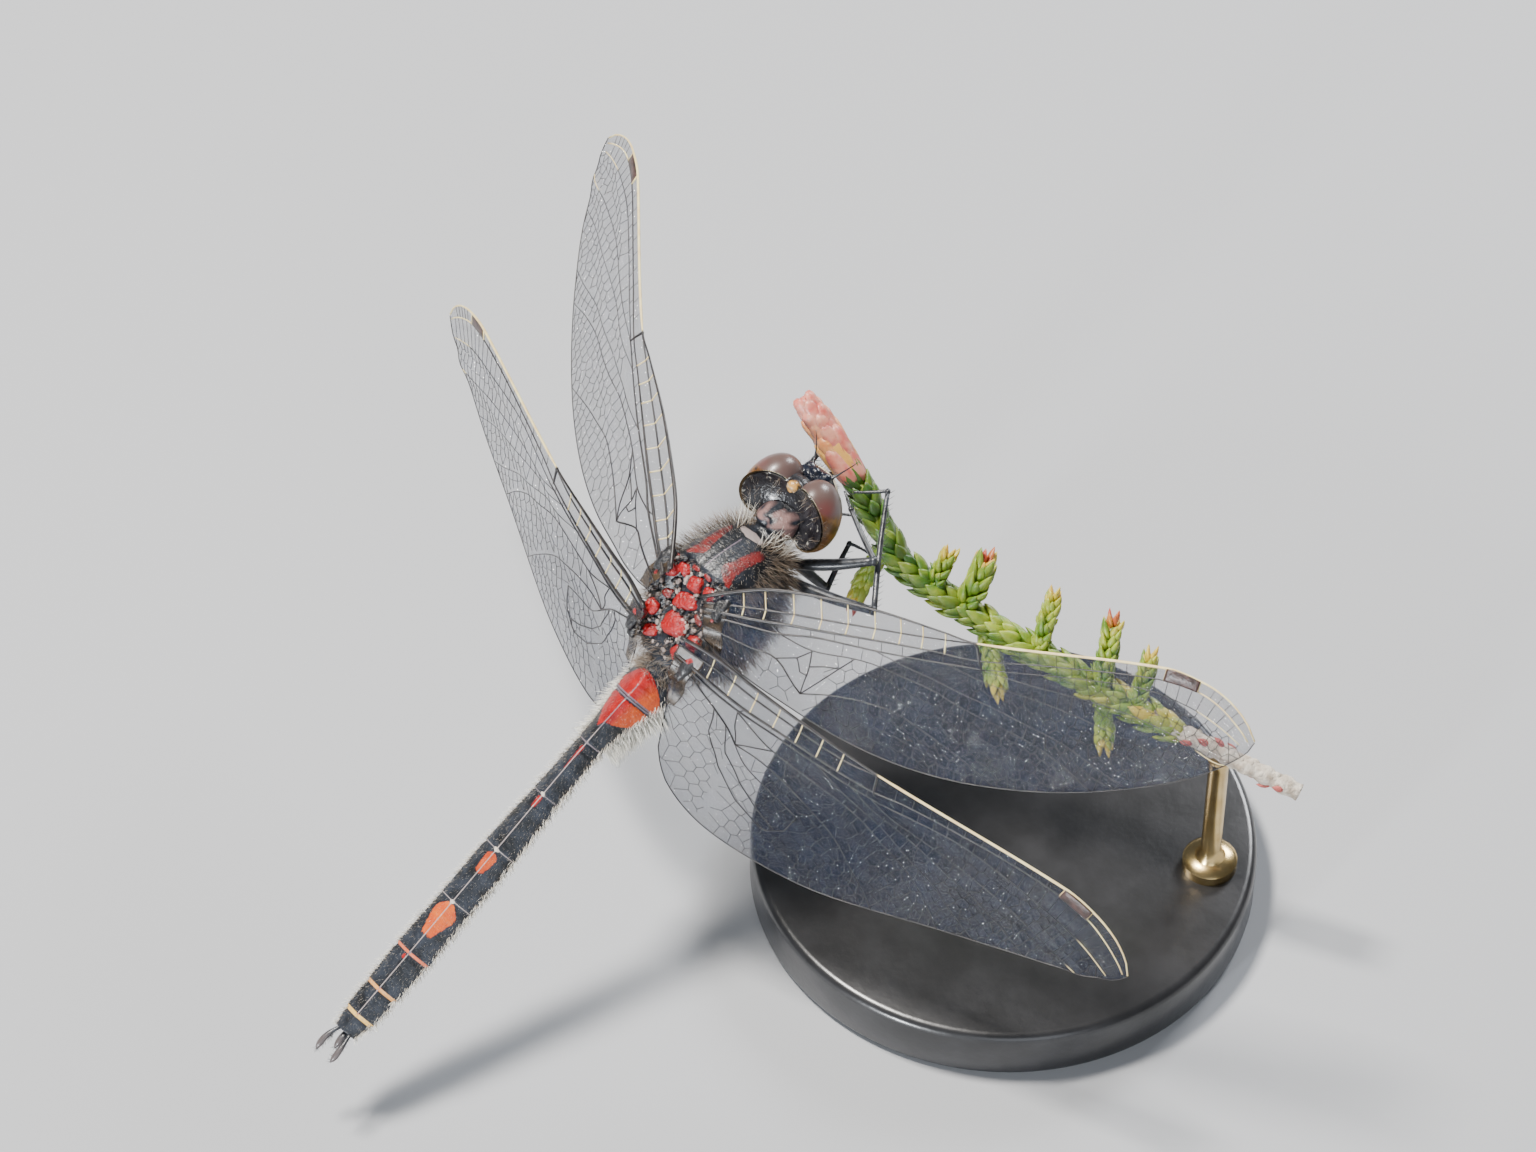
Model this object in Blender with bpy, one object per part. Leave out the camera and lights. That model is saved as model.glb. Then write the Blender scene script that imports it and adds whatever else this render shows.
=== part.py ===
"""Male small whiteface dragonfly at rest on a cut heather sprig, held by a disc stand; still model."""

import math

import bmesh
import bpy
from mathutils import Matrix, Vector

for old in list(bpy.data.objects):
    bpy.data.objects.remove(old, do_unlink=True)

# Driving sizes in millimetres and degrees. Body frame: x = its left, y = back, z = up,
# origin between the wing bases; the body is then tipped nose up and carried above the stand,
# whose underside is centred on the world origin.
MM = 0.001
NOSE_UP = 40.2
BODY_ORIGIN = (10.5, 12.5, 20.6)
CUT = 0.05                     # gap left between two nodes
ROUND = 20                     # points round a body section

BODY = Matrix.Scale(MM, 4) @ Matrix.Translation(BODY_ORIGIN) @ Matrix.Rotation(
    math.radians(-NOSE_UP), 4, "X")

# Thorax stations: y, top z, bottom z, half width (flesh), coat on the flanks, coat on top.
THORAX = (
    (-5.0, -2.30, -3.95, 0.95, 0.55, 0.70),
    (-4.6, -1.70, -4.60, 1.50, 0.75, 0.90),
    (-3.6, -0.85, -5.25, 2.05, 0.90, 0.80),
    (-2.4, -0.10, -5.75, 2.35, 0.95, 0.40),
    (-1.0, -0.05, -6.00, 2.45, 0.90, 0.20),
    (0.4, -0.35, -5.85, 2.40, 0.80, 0.20),
    (1.6, -0.60, -5.35, 2.20, 0.75, 0.20),
    (2.4, -0.85, -4.70, 1.80, 0.70, 0.25),
    (2.8, -1.05, -4.20, 1.35, 0.60, 0.25),
)
# Abdomen: axis from the S2/S3 joint on the dorsal keel, tipped up from the body frame.
ABDOMEN_START = Vector((0.0, 5.02, -1.22))
ABDOMEN_LIFT = 8.7
ABDOMEN_SWING = 0.7            # tail carried to its right
# Abdomen stations: distance along, full width, height, flank coat, belly coat.
ABDOMEN = (
    (-2.45, 2.05, 2.75, 0.45, 0.40),
    (-1.7, 2.40, 2.95, 0.50, 0.55),
    (-0.8, 2.50, 2.85, 0.50, 0.75),
    (0.0, 2.25, 2.50, 0.42, 0.80),
    (1.4, 1.66, 1.90, 0.30, 0.60),
    (2.87, 1.42, 1.50, 0.24, 0.25),
    (6.15, 1.52, 1.35, 0.20, 0.12),
    (9.55, 1.85, 1.35, 0.20, 0.10),
    (12.8, 1.87, 1.30, 0.20, 0.10),
    (16.05, 1.98, 1.25, 0.18, 0.10),
    (18.28, 1.82, 1.12, 0.16, 0.10),
    (19.9, 1.66, 1.00, 0.15, 0.08),
    (20.95, 1.15, 0.75, 0.15, 0.05),
)
SEGMENT_ENDS = (-2.45, -1.7, 0.0, 2.87, 6.15, 9.55, 12.8, 16.05, 18.28, 19.9, 20.95)

# Head frame: bowed and slightly turned against the body.
HEAD_CENTRE = Vector((0.0, -6.99, -3.18))
HEAD_BOW = 68.6
HEAD_TURN = 7.0
HEAD_RADII = (2.0, 1.05, 1.65)
EYE_CENTRE = Vector((1.4, -0.1, 0.1))
EYE_RADII = (1.2, 1.45, 1.8)
EYE_LEAN = 16.0

# Wings: root, sweep forward, droop (minus = down), trailing edge down, bow, length.
WINGS = {
    "wing_fore_right": (-1, (2.02, -1.37, -0.01), 30.9, -10.7, 27.2, 0.0003, 26.7),
    "wing_fore_left": (1, (2.02, -1.37, -0.01), 33.3, -13.1, 28.4, 0.0025, 26.7),
    "wing_hind_right": (-1, (1.96, 1.66, -0.81), 7.9, -20.3, 37.9, -0.0004, 25.6),
    "wing_hind_left": (1, (1.96, 1.66, -0.81), 12.1, -15.3, 43.1, 0.0002, 25.6),
}
WING_THICK = 0.5
# Wing outlines as shares of length and mm in the wing's plane; y grows towards the trailing edge.
FORE_TRAIL = ((-0.03, 1.6), (0.0, 2.3), (0.03, 2.8), (0.11, 4.1), (0.22, 5.5), (0.33, 6.5), (0.44, 7.0),
              (0.56, 7.05), (0.67, 6.75), (0.78, 6.1), (0.88, 5.25), (0.94, 4.4), (0.97, 3.85),
              (0.99, 3.4))
HIND_TRAIL = ((-0.03, 1.6), (-0.005, 3.2), (0.005, 6.2), (0.045, 7.8), (0.115, 8.8), (0.2, 9.2),
              (0.31, 9.15), (0.4, 8.8), (0.51, 7.9), (0.61, 6.95), (0.77, 5.5), (0.86, 4.8), (0.925, 4.15),
              (0.965, 3.6), (0.99, 3.15))
# Leading edges: share of length, mm back, mm that the front strip dips below the plane.
FORE_LEAD = ((-0.03, -0.5, 0.1), (0.04, -0.95, 0.3), (0.1, -1.2, 0.4), (0.19, -1.15, 0.4), (0.3, -0.85, 0.35),
             (0.42, -0.3, 0.15), (0.485, 0.0, 0.0), (0.83, 0.0, 0.0), (0.9, 0.5, 0.0), (0.94, 1.1, 0.0),
             (0.97, 1.95, 0.0), (0.99, 2.8, 0.0))
HIND_LEAD = ((-0.03, -1.1, 0.1), (0.05, -1.0, 0.2), (0.14, -0.6, 0.2), (0.25, -0.25, 0.15), (0.415, 0.0, 0.0),
             (0.82, 0.0, 0.0), (0.89, 0.4, 0.0), (0.94, 1.05, 0.0), (0.97, 1.8, 0.0), (0.99, 2.5, 0.0))

# Legs: hip, knee, ankle, claw; radii of femur, tibia and tarsus.
LEG_RADII = (0.30, 0.26, 0.25)
LEGS = {
    "leg_fore_right": ((-0.75, -4.75, -4.4), (-2.3, -4.3, -6.9), (-1.6, -6.6, -7.3), (-2.3, -6.75, -7.7)),
    "leg_mid_right": ((-0.9, -4.3, -4.75), (-4.44, -7.15, -5.21), (-1.42, -8.19, -5.69), (-0.58, -8.56, -5.87)),
    "leg_hind_right": ((-1.0, -3.6, -5.1), (-5.89, -5.28, -5.41), (-2.12, -9.91, -6.33), (-1.08, -8.95, -5.78)),
    "leg_fore_left": ((0.75, -4.75, -4.4), (1.3, -4.9, -7.0), (0.3, -7.0, -7.3), (-0.5, -7.6, -7.75)),
    "leg_mid_left": ((0.9, -4.3, -4.75), (2.6, -6.2, -7.3), (1.3, -8.9, -7.3), (0.3, -8.9, -7.75)),
    "leg_hind_left": ((1.0, -3.6, -5.1), (3.3, -5.2, -8.2), (2.5, -9.5, -7.0), (1.9, -10.1, -6.5)),
}

# Heather sprig: middle line in the body frame, from the bud tip to the cut end.
SPRIG = ((3.75, -11.1, -4.0), (1.8, -10.2, -5.3), (-0.21, -9.22, -6.73), (-1.94, -8.1, -7.96),
         (-3.68, -7.25, -9.24), (-5.92, -7.13, -10.85), (-9.63, -7.5, -13.4), (-14.29, -8.06, -16.42),
         (-19.29, -9.01, -19.48), (-22.03, -9.52, -21.16))
BUD_END, LEAFY_END = 0.165, 0.8   # shares of the sprig's length
LEAFY_RADIUS, STEM_RADIUS = 1.15, 0.46
# Side shoots: share along the sprig where each starts, its tip, its radius.
SHOOTS = (
    (0.36, (-5.04, -8.88, -9.66), 0.7),
    (0.42, (-6.29, -9.62, -10.77), 0.9),
    (0.55, (-9.24, -10.31, -12.83), 0.72),
    (0.66, (-11.69, -11.05, -14.62), 0.72),
    (0.72, (-13.8, -10.71, -15.99), 0.65),
    (0.46, (-9.51, -4.79, -13.71), 0.72),
    (0.67, (-14.1, -5.6, -17.2), 0.72),
    (0.27, (-2.31, -4.01, -9.89), 0.85),
)

BASE_RADIUS, BASE_THICK = 12.5, 3.0
ROD_SHARE = 0.865              # where along the sprig the rod holds it
ROD_RADIUS = 0.5

COLORS = {
    "thorax_hide": ((0.05, 0.045, 0.05), 0.5),
    "abdomen_hide": ((0.035, 0.035, 0.042), 0.4),
    "abdomen_red": ((0.55, 0.07, 0.03), 0.45),
    "head_shell": ((0.06, 0.05, 0.05), 0.4),
    "face_shell": ((0.75, 0.72, 0.6), 0.5),
    "eye_shell": ((0.16, 0.08, 0.06), 0.2),
    "wing_film": ((0.55, 0.58, 0.62), 0.25),
    "leg_shell": ((0.02, 0.02, 0.022), 0.4),
    "heather_bud": ((0.75, 0.4, 0.33), 0.6),
    "heather_leaf": ((0.2, 0.4, 0.08), 0.6),
    "heather_stem": ((0.6, 0.52, 0.42), 0.7),
    "stand_black": ((0.02, 0.02, 0.02), 0.35),
    "stand_brass": ((0.75, 0.58, 0.3), 0.3),
}


def material(name):
    found = bpy.data.materials.get(name)
    if found:
        return found
    color, rough = COLORS[name]
    made = bpy.data.materials.new(name)
    made.use_nodes = True
    shader = made.node_tree.nodes["Principled BSDF"]
    shader.inputs["Base Color"].default_value = (*color, 1.0)
    shader.inputs["Roughness"].default_value = rough
    shader.inputs["Metallic"].default_value = 1.0 if name == "stand_brass" else 0.0
    return made


def between(table, at, column):
    """Smooth value of one column of a table whose first column rises."""
    if at <= table[0][0]:
        return table[0][column]
    for low, high in zip(table, table[1:]):
        if at <= high[0]:
            share = (at - low[0]) / (high[0] - low[0])
            return low[column] + (high[column] - low[column]) * share
    return table[-1][column]


def finish(name, bm, slot, space):
    bmesh.ops.remove_doubles(bm, verts=bm.verts, dist=0.0005)
    bmesh.ops.recalc_face_normals(bm, faces=bm.faces)
    mesh = bpy.data.meshes.new(name)
    bmesh.ops.transform(bm, matrix=space, verts=bm.verts)
    bm.to_mesh(mesh)
    bm.free()
    mesh.materials.append(material(slot))
    obj = bpy.data.objects.new(name, mesh)
    bpy.context.scene.collection.objects.link(obj)
    return obj


def loft(name, rings, slot, space=BODY):
    """Closed body through rings of equal count; the ends are flat caps."""
    bm = bmesh.new()
    rows = [[bm.verts.new(point) for point in ring] for ring in rings]
    for low, high in zip(rows, rows[1:]):
        for i in range(len(low)):
            j = (i + 1) % len(low)
            bm.faces.new((low[i], low[j], high[j], high[i]))
    bm.faces.new(rows[0][::-1])
    bm.faces.new(rows[-1])
    return finish(name, bm, slot, space)


def ellipsoid(name, centre, radii, turn, slot, rows=10, around=18):
    bm = bmesh.new()
    bmesh.ops.create_uvsphere(bm, u_segments=around, v_segments=rows, radius=1.0)
    shape = Matrix.Translation(centre) @ turn @ Matrix.Diagonal((*radii, 1.0))
    bmesh.ops.transform(bm, matrix=shape, verts=bm.verts)
    return finish(name, bm, slot, BODY)


def largestPiece(bm):
    """Drops the loose bits a cut leaves behind; faces that share an edge belong together."""
    left = set(bm.faces)
    pieces = []
    while left:
        stack = [left.pop()]
        piece = set(stack)
        while stack:
            for edge in stack.pop().edges:
                for face in edge.link_faces:
                    if face not in piece and len(edge.link_faces) == 2:
                        piece.add(face)
                        stack.append(face)
        left -= piece
        pieces.append(piece)
    pieces.sort(key=len)
    for piece in pieces[:-1]:
        bmesh.ops.delete(bm, geom=list(piece), context="FACES")


def trim(obj, cutters):
    """Cuts each solid out of the object and keeps the largest piece that is left."""
    for cutter in cutters:
        mod = obj.modifiers.new("cut", "BOOLEAN")
        mod.operation = "DIFFERENCE"
        mod.solver = "EXACT"
        mod.object = cutter
    graph = bpy.context.evaluated_depsgraph_get()
    mesh = bpy.data.meshes.new_from_object(obj.evaluated_get(graph))
    obj.modifiers.clear()
    slot = obj.data.materials[0]
    bm = bmesh.new()
    bm.from_mesh(mesh)
    bmesh.ops.remove_doubles(bm, verts=bm.verts, dist=0.004 * MM)
    bmesh.ops.dissolve_degenerate(bm, dist=0.004 * MM, edges=bm.edges)
    largestPiece(bm)
    bmesh.ops.triangulate(bm, faces=bm.faces)
    bmesh.ops.recalc_face_normals(bm, faces=bm.faces)
    bm.to_mesh(mesh)
    bm.free()
    mesh.materials.clear()
    mesh.materials.append(slot)
    obj.data = mesh


def reach(obj):
    points = [vert.co for vert in obj.data.vertices]
    return [(min(p[i] for p in points), max(p[i] for p in points)) for i in range(3)]


def meet(one, two):
    """Whether the boxes round two objects touch."""
    return all(a[0] < b[1] and b[0] < a[1] for a, b in zip(reach(one), reach(two)))


def discard(objects):
    for obj in objects:
        bpy.data.objects.remove(obj, do_unlink=True)


def power(value, exponent):
    return math.copysign(abs(value) ** exponent, value)


def thoraxRing(y, grow):
    top, bottom = between(THORAX, y, 1), between(THORAX, y, 2)
    half, flank, roof = between(THORAX, y, 3), between(THORAX, y, 4), between(THORAX, y, 5)
    top, bottom = top + roof + grow, bottom - 0.6 * flank - grow
    half += flank + grow
    middle, tall = (top + bottom) / 2, (top - bottom) / 2
    ring = []
    for i in range(ROUND):
        a = 2 * math.pi * (i + 0.5) / ROUND
        ring.append((half * power(math.cos(a), 0.86), y, middle + tall * power(math.sin(a), 0.86)))
    return ring


def thorax(name, grow=0.0):
    ys = [-5.0 - grow, -4.6, -4.1, -3.6, -3.0, -2.4, -1.7, -1.0, -0.3, 0.4, 1.0, 1.6, 2.0, 2.4, 2.8 + grow]
    return loft(name, [thoraxRing(y, grow) for y in ys], "thorax_hide")


def abdomenTurn():
    return (Matrix.Rotation(math.radians(ABDOMEN_SWING), 3, "Z")
            @ Matrix.Rotation(math.radians(ABDOMEN_LIFT), 3, "X"))


def abdomenRing(s, grow):
    wide, tall = between(ABDOMEN, s, 1) / 2, between(ABDOMEN, s, 2)
    wide += between(ABDOMEN, s, 3) + grow
    belly = between(ABDOMEN, s, 4) + grow
    ring = []
    for i in range(ROUND):
        a = 2 * math.pi * (i + 0.5) / ROUND
        x, up = power(math.cos(a), 0.95), math.sin(a)
        rise = tall * 0.55 * (1 - abs(x) ** 1.6) if up > 0 else (tall * 0.45 + belly) * up
        z = -tall * 0.55 + rise + (0.1 + grow) * max(up, 0.0)
        point = Vector((x * wide, s, z))
        ring.append(ABDOMEN_START + abdomenTurn() @ point)
    return ring


def abdomenSegment(name, start, end, slot, grow=0.0):
    count = max(2, round((end - start) / 0.7))
    steps = [start + (end - start) * i / count for i in range(count + 1)]
    return loft(name, [abdomenRing(s, grow) for s in steps], slot)


def headTurn():
    return (Matrix.Rotation(math.radians(HEAD_BOW), 4, "X")
            @ Matrix.Rotation(math.radians(HEAD_TURN), 4, "Z"))


def inHead(point):
    return HEAD_CENTRE + headTurn().to_3x3() @ Vector(point)


def headBall(name, centre, radii, slot, lean=0.0, grow=0.0, rows=10, around=18):
    turn = headTurn() @ Matrix.Rotation(math.radians(lean), 4, "Y")
    return ellipsoid(name, inHead(centre), [r + grow for r in radii], turn, slot, rows, around)


def tube(name, path, radii, slot, around=8, space=BODY):
    """Round body along a path; each ring stands square to the path."""
    path = [Vector(point) for point in path]
    rings = []
    up = Vector((0.13, 0.21, 0.97))
    for i, point in enumerate(path):
        before, after = path[max(i - 1, 0)], path[min(i + 1, len(path) - 1)]
        along = (after - before).normalized()
        side = along.cross(up).normalized()
        other = along.cross(side)
        rings.append([point + (side * math.cos(a) + other * math.sin(a)) * radii[i]
                      for a in (2 * math.pi * k / around for k in range(around))])
    return loft(name, rings, slot, space)


def along(start, end, shares):
    start, end = Vector(start), Vector(end)
    return [start.lerp(end, share) for share in shares]


def wing(name):
    side, root, sweep, droop, pitch, bow, length = WINGS[name]
    fore = "fore" in name
    trail, lead = (FORE_TRAIL, FORE_LEAD) if fore else (HIND_TRAIL, HIND_LEAD)
    root = Vector(root)
    turn = (Matrix.Rotation(math.radians(-sweep), 3, "Z") @ Matrix.Rotation(math.radians(-droop), 3, "Y")
            @ Matrix.Rotation(math.radians(-pitch), 3, "X"))
    shares = [-0.03, -0.005, 0.005, 0.03, 0.07, 0.115, 0.19, 0.27, 0.36, 0.46, 0.56, 0.67, 0.78, 0.86, 0.91,
              0.95, 0.975, 0.99]
    half = WING_THICK / 2
    rings = []
    for share in shares:
        x = share * length
        front, dip = between(lead, share, 1), between(lead, share, 2)
        back = max(between(trail, share, 1), front + 0.6)
        ridge = front + 0.18 + 1.7 * dip
        if share == shares[-1]:
            half = WING_THICK * 0.3
        z = -bow * x * x
        ring = []
        for y, h in ((front, -dip), (front + 0.18, half - dip), (ridge + 0.4, half), (back - 0.18, half),
                     (back, 0), (back - 0.18, -half), (ridge + 0.4, -half), (front + 0.18, -half - dip)):
            point = root + turn @ Vector((x, y, z + h))
            ring.append((side * point.x, point.y, point.z))
        rings.append(ring)
    return loft(name, rings, "wing_film")


def sprigPoint(share):
    path = [Vector(point) for point in SPRIG]
    spans = [(b - a).length for a, b in zip(path, path[1:])]
    rest = share * sum(spans)
    for a, b, span in zip(path, path[1:], spans):
        if rest <= span:
            return a.lerp(b, rest / span)
        rest -= span
    return path[-1]


def leafyRadius(step, radius):
    return radius * (1.0 if step % 2 else 0.62)


def sprig(name, start, end, steps, radiusAt, slot, around=9):
    shares = [start + (end - start) * i / steps for i in range(steps + 1)]
    return tube(name, [sprigPoint(s) for s in shares], [radiusAt(i) for i in range(steps + 1)], slot, around)


def budRadius(step):
    taper = (0.3, 0.62, 0.78, 0.84, 0.86, 0.84, 0.86, 0.84)
    return taper[min(step, 7)] * (1.0 if step % 2 else 0.93)


def stemRadius(step):
    return STEM_RADIUS * (1.12 if step % 3 == 0 else 0.95)


# Trunk, neck and abdomen.
trunk = thorax("thorax")
trunkCut = thorax("cut_thorax", CUT)
tail = []
for n in range(10):
    first, last = SEGMENT_ENDS[n], SEGMENT_ENDS[n + 1]
    slot = "abdomen_red" if n in (1, 2) else "abdomen_hide"
    begin = first - 0.4 if n == 0 else first + CUT / 2
    tail.append(abdomenSegment(f"abdomen_{n + 1}", begin, last - CUT / 2, slot))
trim(tail[0], [trunkCut])
frontAbdomenCut = abdomenSegment("cut_abdomen", -2.85, 3.0, "abdomen_hide", CUT)

tip = ABDOMEN_START + abdomenTurn() @ Vector((0, 20.95 + CUT, -0.36))
rearward = abdomenTurn() @ Vector((0, 1, 0))
for side, name in ((1, "appendage_left"), (-1, "appendage_right")):
    start = tip + Vector((side * 0.34, 0, 0.08))
    end = start + rearward * 1.5 + Vector((side * 0.2, 0, 0.08))
    tube(name, along(start, end, (0, 0.2, 0.6, 0.9, 1.0)), (0.25, 0.27, 0.29, 0.24, 0.12), "leg_shell")
lowStart = tip + Vector((0, 0, -0.3))
tube("appendage_lower", along(lowStart, lowStart + rearward * 0.95, (0, 0.5, 1.0)), (0.22, 0.25, 0.15),
     "leg_shell")

# Head: shell, face parts, eyes and feelers.
eyes = {}
for side, name in ((1, "left"), (-1, "right")):
    place = (side * EYE_CENTRE.x, EYE_CENTRE.y, EYE_CENTRE.z)
    eyes[name] = headBall(f"eye_{name}", place, EYE_RADII, "eye_shell", -side * EYE_LEAN)
    eyes[f"{name}Cut"] = headBall(f"cut_eye_{name}", place, EYE_RADII, "eye_shell", -side * EYE_LEAN, CUT)
wallBm = bmesh.new()
bmesh.ops.create_cube(wallBm, size=1.0)
wallShape = Matrix.Translation(HEAD_CENTRE) @ headTurn() @ Matrix.Diagonal((CUT, 8.0, 8.0, 1.0))
bmesh.ops.transform(wallBm, matrix=wallShape, verts=wallBm.verts)
wall = finish("cut_wall", wallBm, "eye_shell", BODY)
trim(eyes["left"], [wall])
trim(eyes["right"], [wall])
eyeCuts = [eyes["leftCut"], eyes["rightCut"]]
shell = headBall("head", (0, 0.0, -0.15), HEAD_RADII, "head_shell")
shellCut = headBall("cut_head", (0, 0.0, -0.15), HEAD_RADII, "head_shell", 0.0, CUT)
trim(shell, eyeCuts)
vertex = headBall("vertex", (0, -1.2, 1.25), (1.0, 0.55, 0.5), "head_shell")
vertexCut = headBall("cut_vertex", (0, -1.2, 1.25), (1.0, 0.55, 0.5), "head_shell", 0.0, CUT)
trim(vertex, eyeCuts + [shellCut])
frons = headBall("frons", (0, -1.6, 0.4), (1.28, 0.75, 1.05), "face_shell")
fronsCut = headBall("cut_frons", (0, -1.6, 0.4), (1.28, 0.75, 1.05), "face_shell", 0.0, CUT)
trim(frons, eyeCuts + [shellCut, vertexCut])
mouth = headBall("mouthparts", (0, -1.0, -1.15), (1.2, 1.05, 0.85), "face_shell")
mouthCut = headBall("cut_mouth", (0, -1.0, -1.15), (1.2, 1.05, 0.85), "face_shell", 0.0, CUT)
trim(mouth, eyeCuts + [shellCut, fronsCut])
for side, name in ((1, "left"), (-1, "right")):
    feeler = [inHead(p) for p in ((side * 0.6, -1.5, 1.2), (side * 0.95, -1.95, 2.0),
                                  (side * 1.35, -1.95, 2.8))]
    antenna = tube(f"antenna_{name}", feeler, (0.26, 0.25, 0.25), "leg_shell", 6)
    trim(antenna, eyeCuts + [vertexCut, fronsCut, shellCut])
neck = tube("prothorax", along((0, -4.7, -3.1), inHead((0, 0.9, -0.3)), (0, 0.2, 0.5, 0.8, 1.0)),
            (1.45, 1.5, 1.45, 1.3, 1.1), "thorax_hide", 16)
trim(neck, [trunkCut, shellCut, mouthCut] + eyeCuts)
neckCut = tube("cut_neck", along((0, -4.7, -3.1), inHead((0, 0.9, -0.3)), (0, 0.2, 0.5, 0.8, 1.0)),
               (1.5, 1.55, 1.5, 1.35, 1.15), "thorax_hide", 16)

# Wings.
for name in WINGS:
    trim(wing(name), [trunkCut, frontAbdomenCut])

# Heather sprig.
bud = sprig("perch_bud", 0.0, BUD_END, 7, budRadius, "heather_bud")
leafy = sprig("perch_leafy", BUD_END + 0.002, LEAFY_END, 30, lambda i: leafyRadius(i, LEAFY_RADIUS),
              "heather_leaf")
bare = sprig("perch_stem", LEAFY_END + 0.002, 1.0, 6, stemRadius, "heather_stem")
budCut = sprig("cut_bud", 0.0, BUD_END, 7, lambda i: budRadius(i) + CUT, "heather_bud")
leafyCut = sprig("cut_leafy", BUD_END - 0.002, LEAFY_END + 0.002, 30,
                 lambda i: leafyRadius(i, LEAFY_RADIUS) + CUT, "heather_leaf")
bareCut = sprig("cut_bare", LEAFY_END - 0.002, 1.0, 6, lambda i: stemRadius(i) + CUT, "heather_stem")
for n, (share, end, radius) in enumerate(SHOOTS):
    shares = (0.0, 0.15, 0.3, 0.4, 0.48, 0.58, 0.7, 0.8, 0.92, 1.0)
    radii = [radius * 0.5 if i < 5 else leafyRadius(i, radius) * (1.0 if i < 7 else 1.15 - 0.25 * (i - 6))
             for i in range(10)]
    shoot = tube(f"perch_shoot_{n + 1}", along(sprigPoint(share), end, shares), radii, "heather_leaf", 7)
    trim(shoot, [leafyCut, bareCut])

# Legs: femur, tibia and tarsus, each kept clear of its neighbours.
limbCuts = []
for name, (hip, knee, ankle, claw) in LEGS.items():
    stages = (("femur", hip, knee), ("tibia", knee, ankle), ("tarsus", ankle, claw))
    for (stage, start, end), radius in zip(stages, LEG_RADII):
        start, end = Vector(start), Vector(end)
        span = (end - start).length
        clear = 0.0 if stage == "femur" else radius + CUT
        low, high = clear / span, 1.0 - (0.02 if stage != "tarsus" else 0.0) / span
        path = along(start, end, (low, low + 0.12, high - 0.06, high))
        sizes = [radius * share for share in (1.0, 1.0, 0.96, 0.88)]
        limb = tube(f"{name}_{stage}", path, sizes, "leg_shell", 7)
        blocks = [trunkCut, neckCut, mouthCut] if stage == "femur" else [budCut, leafyCut, mouthCut, fronsCut]
        trim(limb, blocks + [other for other in limbCuts if meet(limb, other)])
        limbCuts.append(tube(f"cut_{name}_{stage}", path, [size + CUT for size in sizes], "leg_shell", 7))

# Display stand: disc and one rod up to the sprig.
discBm = bmesh.new()
bmesh.ops.create_cone(discBm, cap_ends=True, segments=48, radius1=BASE_RADIUS, radius2=BASE_RADIUS,
                      depth=BASE_THICK)
rim = [edge for edge in discBm.edges if all(vert.co.z > 0 for vert in edge.verts)]
bmesh.ops.bevel(discBm, geom=rim, offset=0.4, segments=2, affect="EDGES", profile=0.5, material=-1)
bmesh.ops.translate(discBm, vec=(0, 0, BASE_THICK / 2), verts=discBm.verts)
finish("stand_base", discBm, "stand_black", Matrix.Scale(MM, 4))
hold = (BODY @ sprigPoint(ROD_SHARE)) / MM
rodPath = [Vector((hold.x, hold.y, z)) for z in (BASE_THICK + CUT, BASE_THICK + 1.0, hold.z - 1.0, hold.z)]
rod = tube("stand_rod", rodPath, [ROD_RADIUS] * 4, "stand_brass", 12, Matrix.Scale(MM, 4))
trim(rod, [bareCut])

discard([obj for obj in bpy.data.objects if obj.name.startswith("cut_")])
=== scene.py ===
import math

import bmesh
import bpy
import numpy as np
from mathutils import Matrix, Vector, geometry, noise


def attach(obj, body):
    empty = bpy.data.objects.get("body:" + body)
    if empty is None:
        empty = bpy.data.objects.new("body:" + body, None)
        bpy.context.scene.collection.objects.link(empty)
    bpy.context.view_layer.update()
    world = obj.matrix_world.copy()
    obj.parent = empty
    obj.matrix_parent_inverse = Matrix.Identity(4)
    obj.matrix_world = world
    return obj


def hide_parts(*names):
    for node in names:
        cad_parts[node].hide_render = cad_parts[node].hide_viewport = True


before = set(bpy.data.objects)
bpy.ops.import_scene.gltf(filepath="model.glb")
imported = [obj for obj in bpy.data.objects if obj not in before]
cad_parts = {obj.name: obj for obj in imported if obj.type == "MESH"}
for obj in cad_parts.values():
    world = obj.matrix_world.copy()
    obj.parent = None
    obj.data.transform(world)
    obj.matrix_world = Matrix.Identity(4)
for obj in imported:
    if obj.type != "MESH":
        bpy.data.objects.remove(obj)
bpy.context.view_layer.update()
print("frame loaded")

# Sizes are in mm in the body frame: x its left, y back, z up, from a point between the wing bases.
mm = 0.001
stance = {"noseUp": 40.2, "origin": (10.5, 12.5, 20.6)}
toWorld = (Matrix.Scale(mm, 4) @ Matrix.Translation(stance["origin"])
           @ Matrix.Rotation(math.radians(-stance["noseUp"]), 4, "X"))
standSpace = Matrix.Scale(mm, 4)


# Small helpers
def soft(low, high, x):
    t = min(max((x - low) / (high - low), 0.0), 1.0)
    return t * t * (3 - 2 * t)


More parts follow.
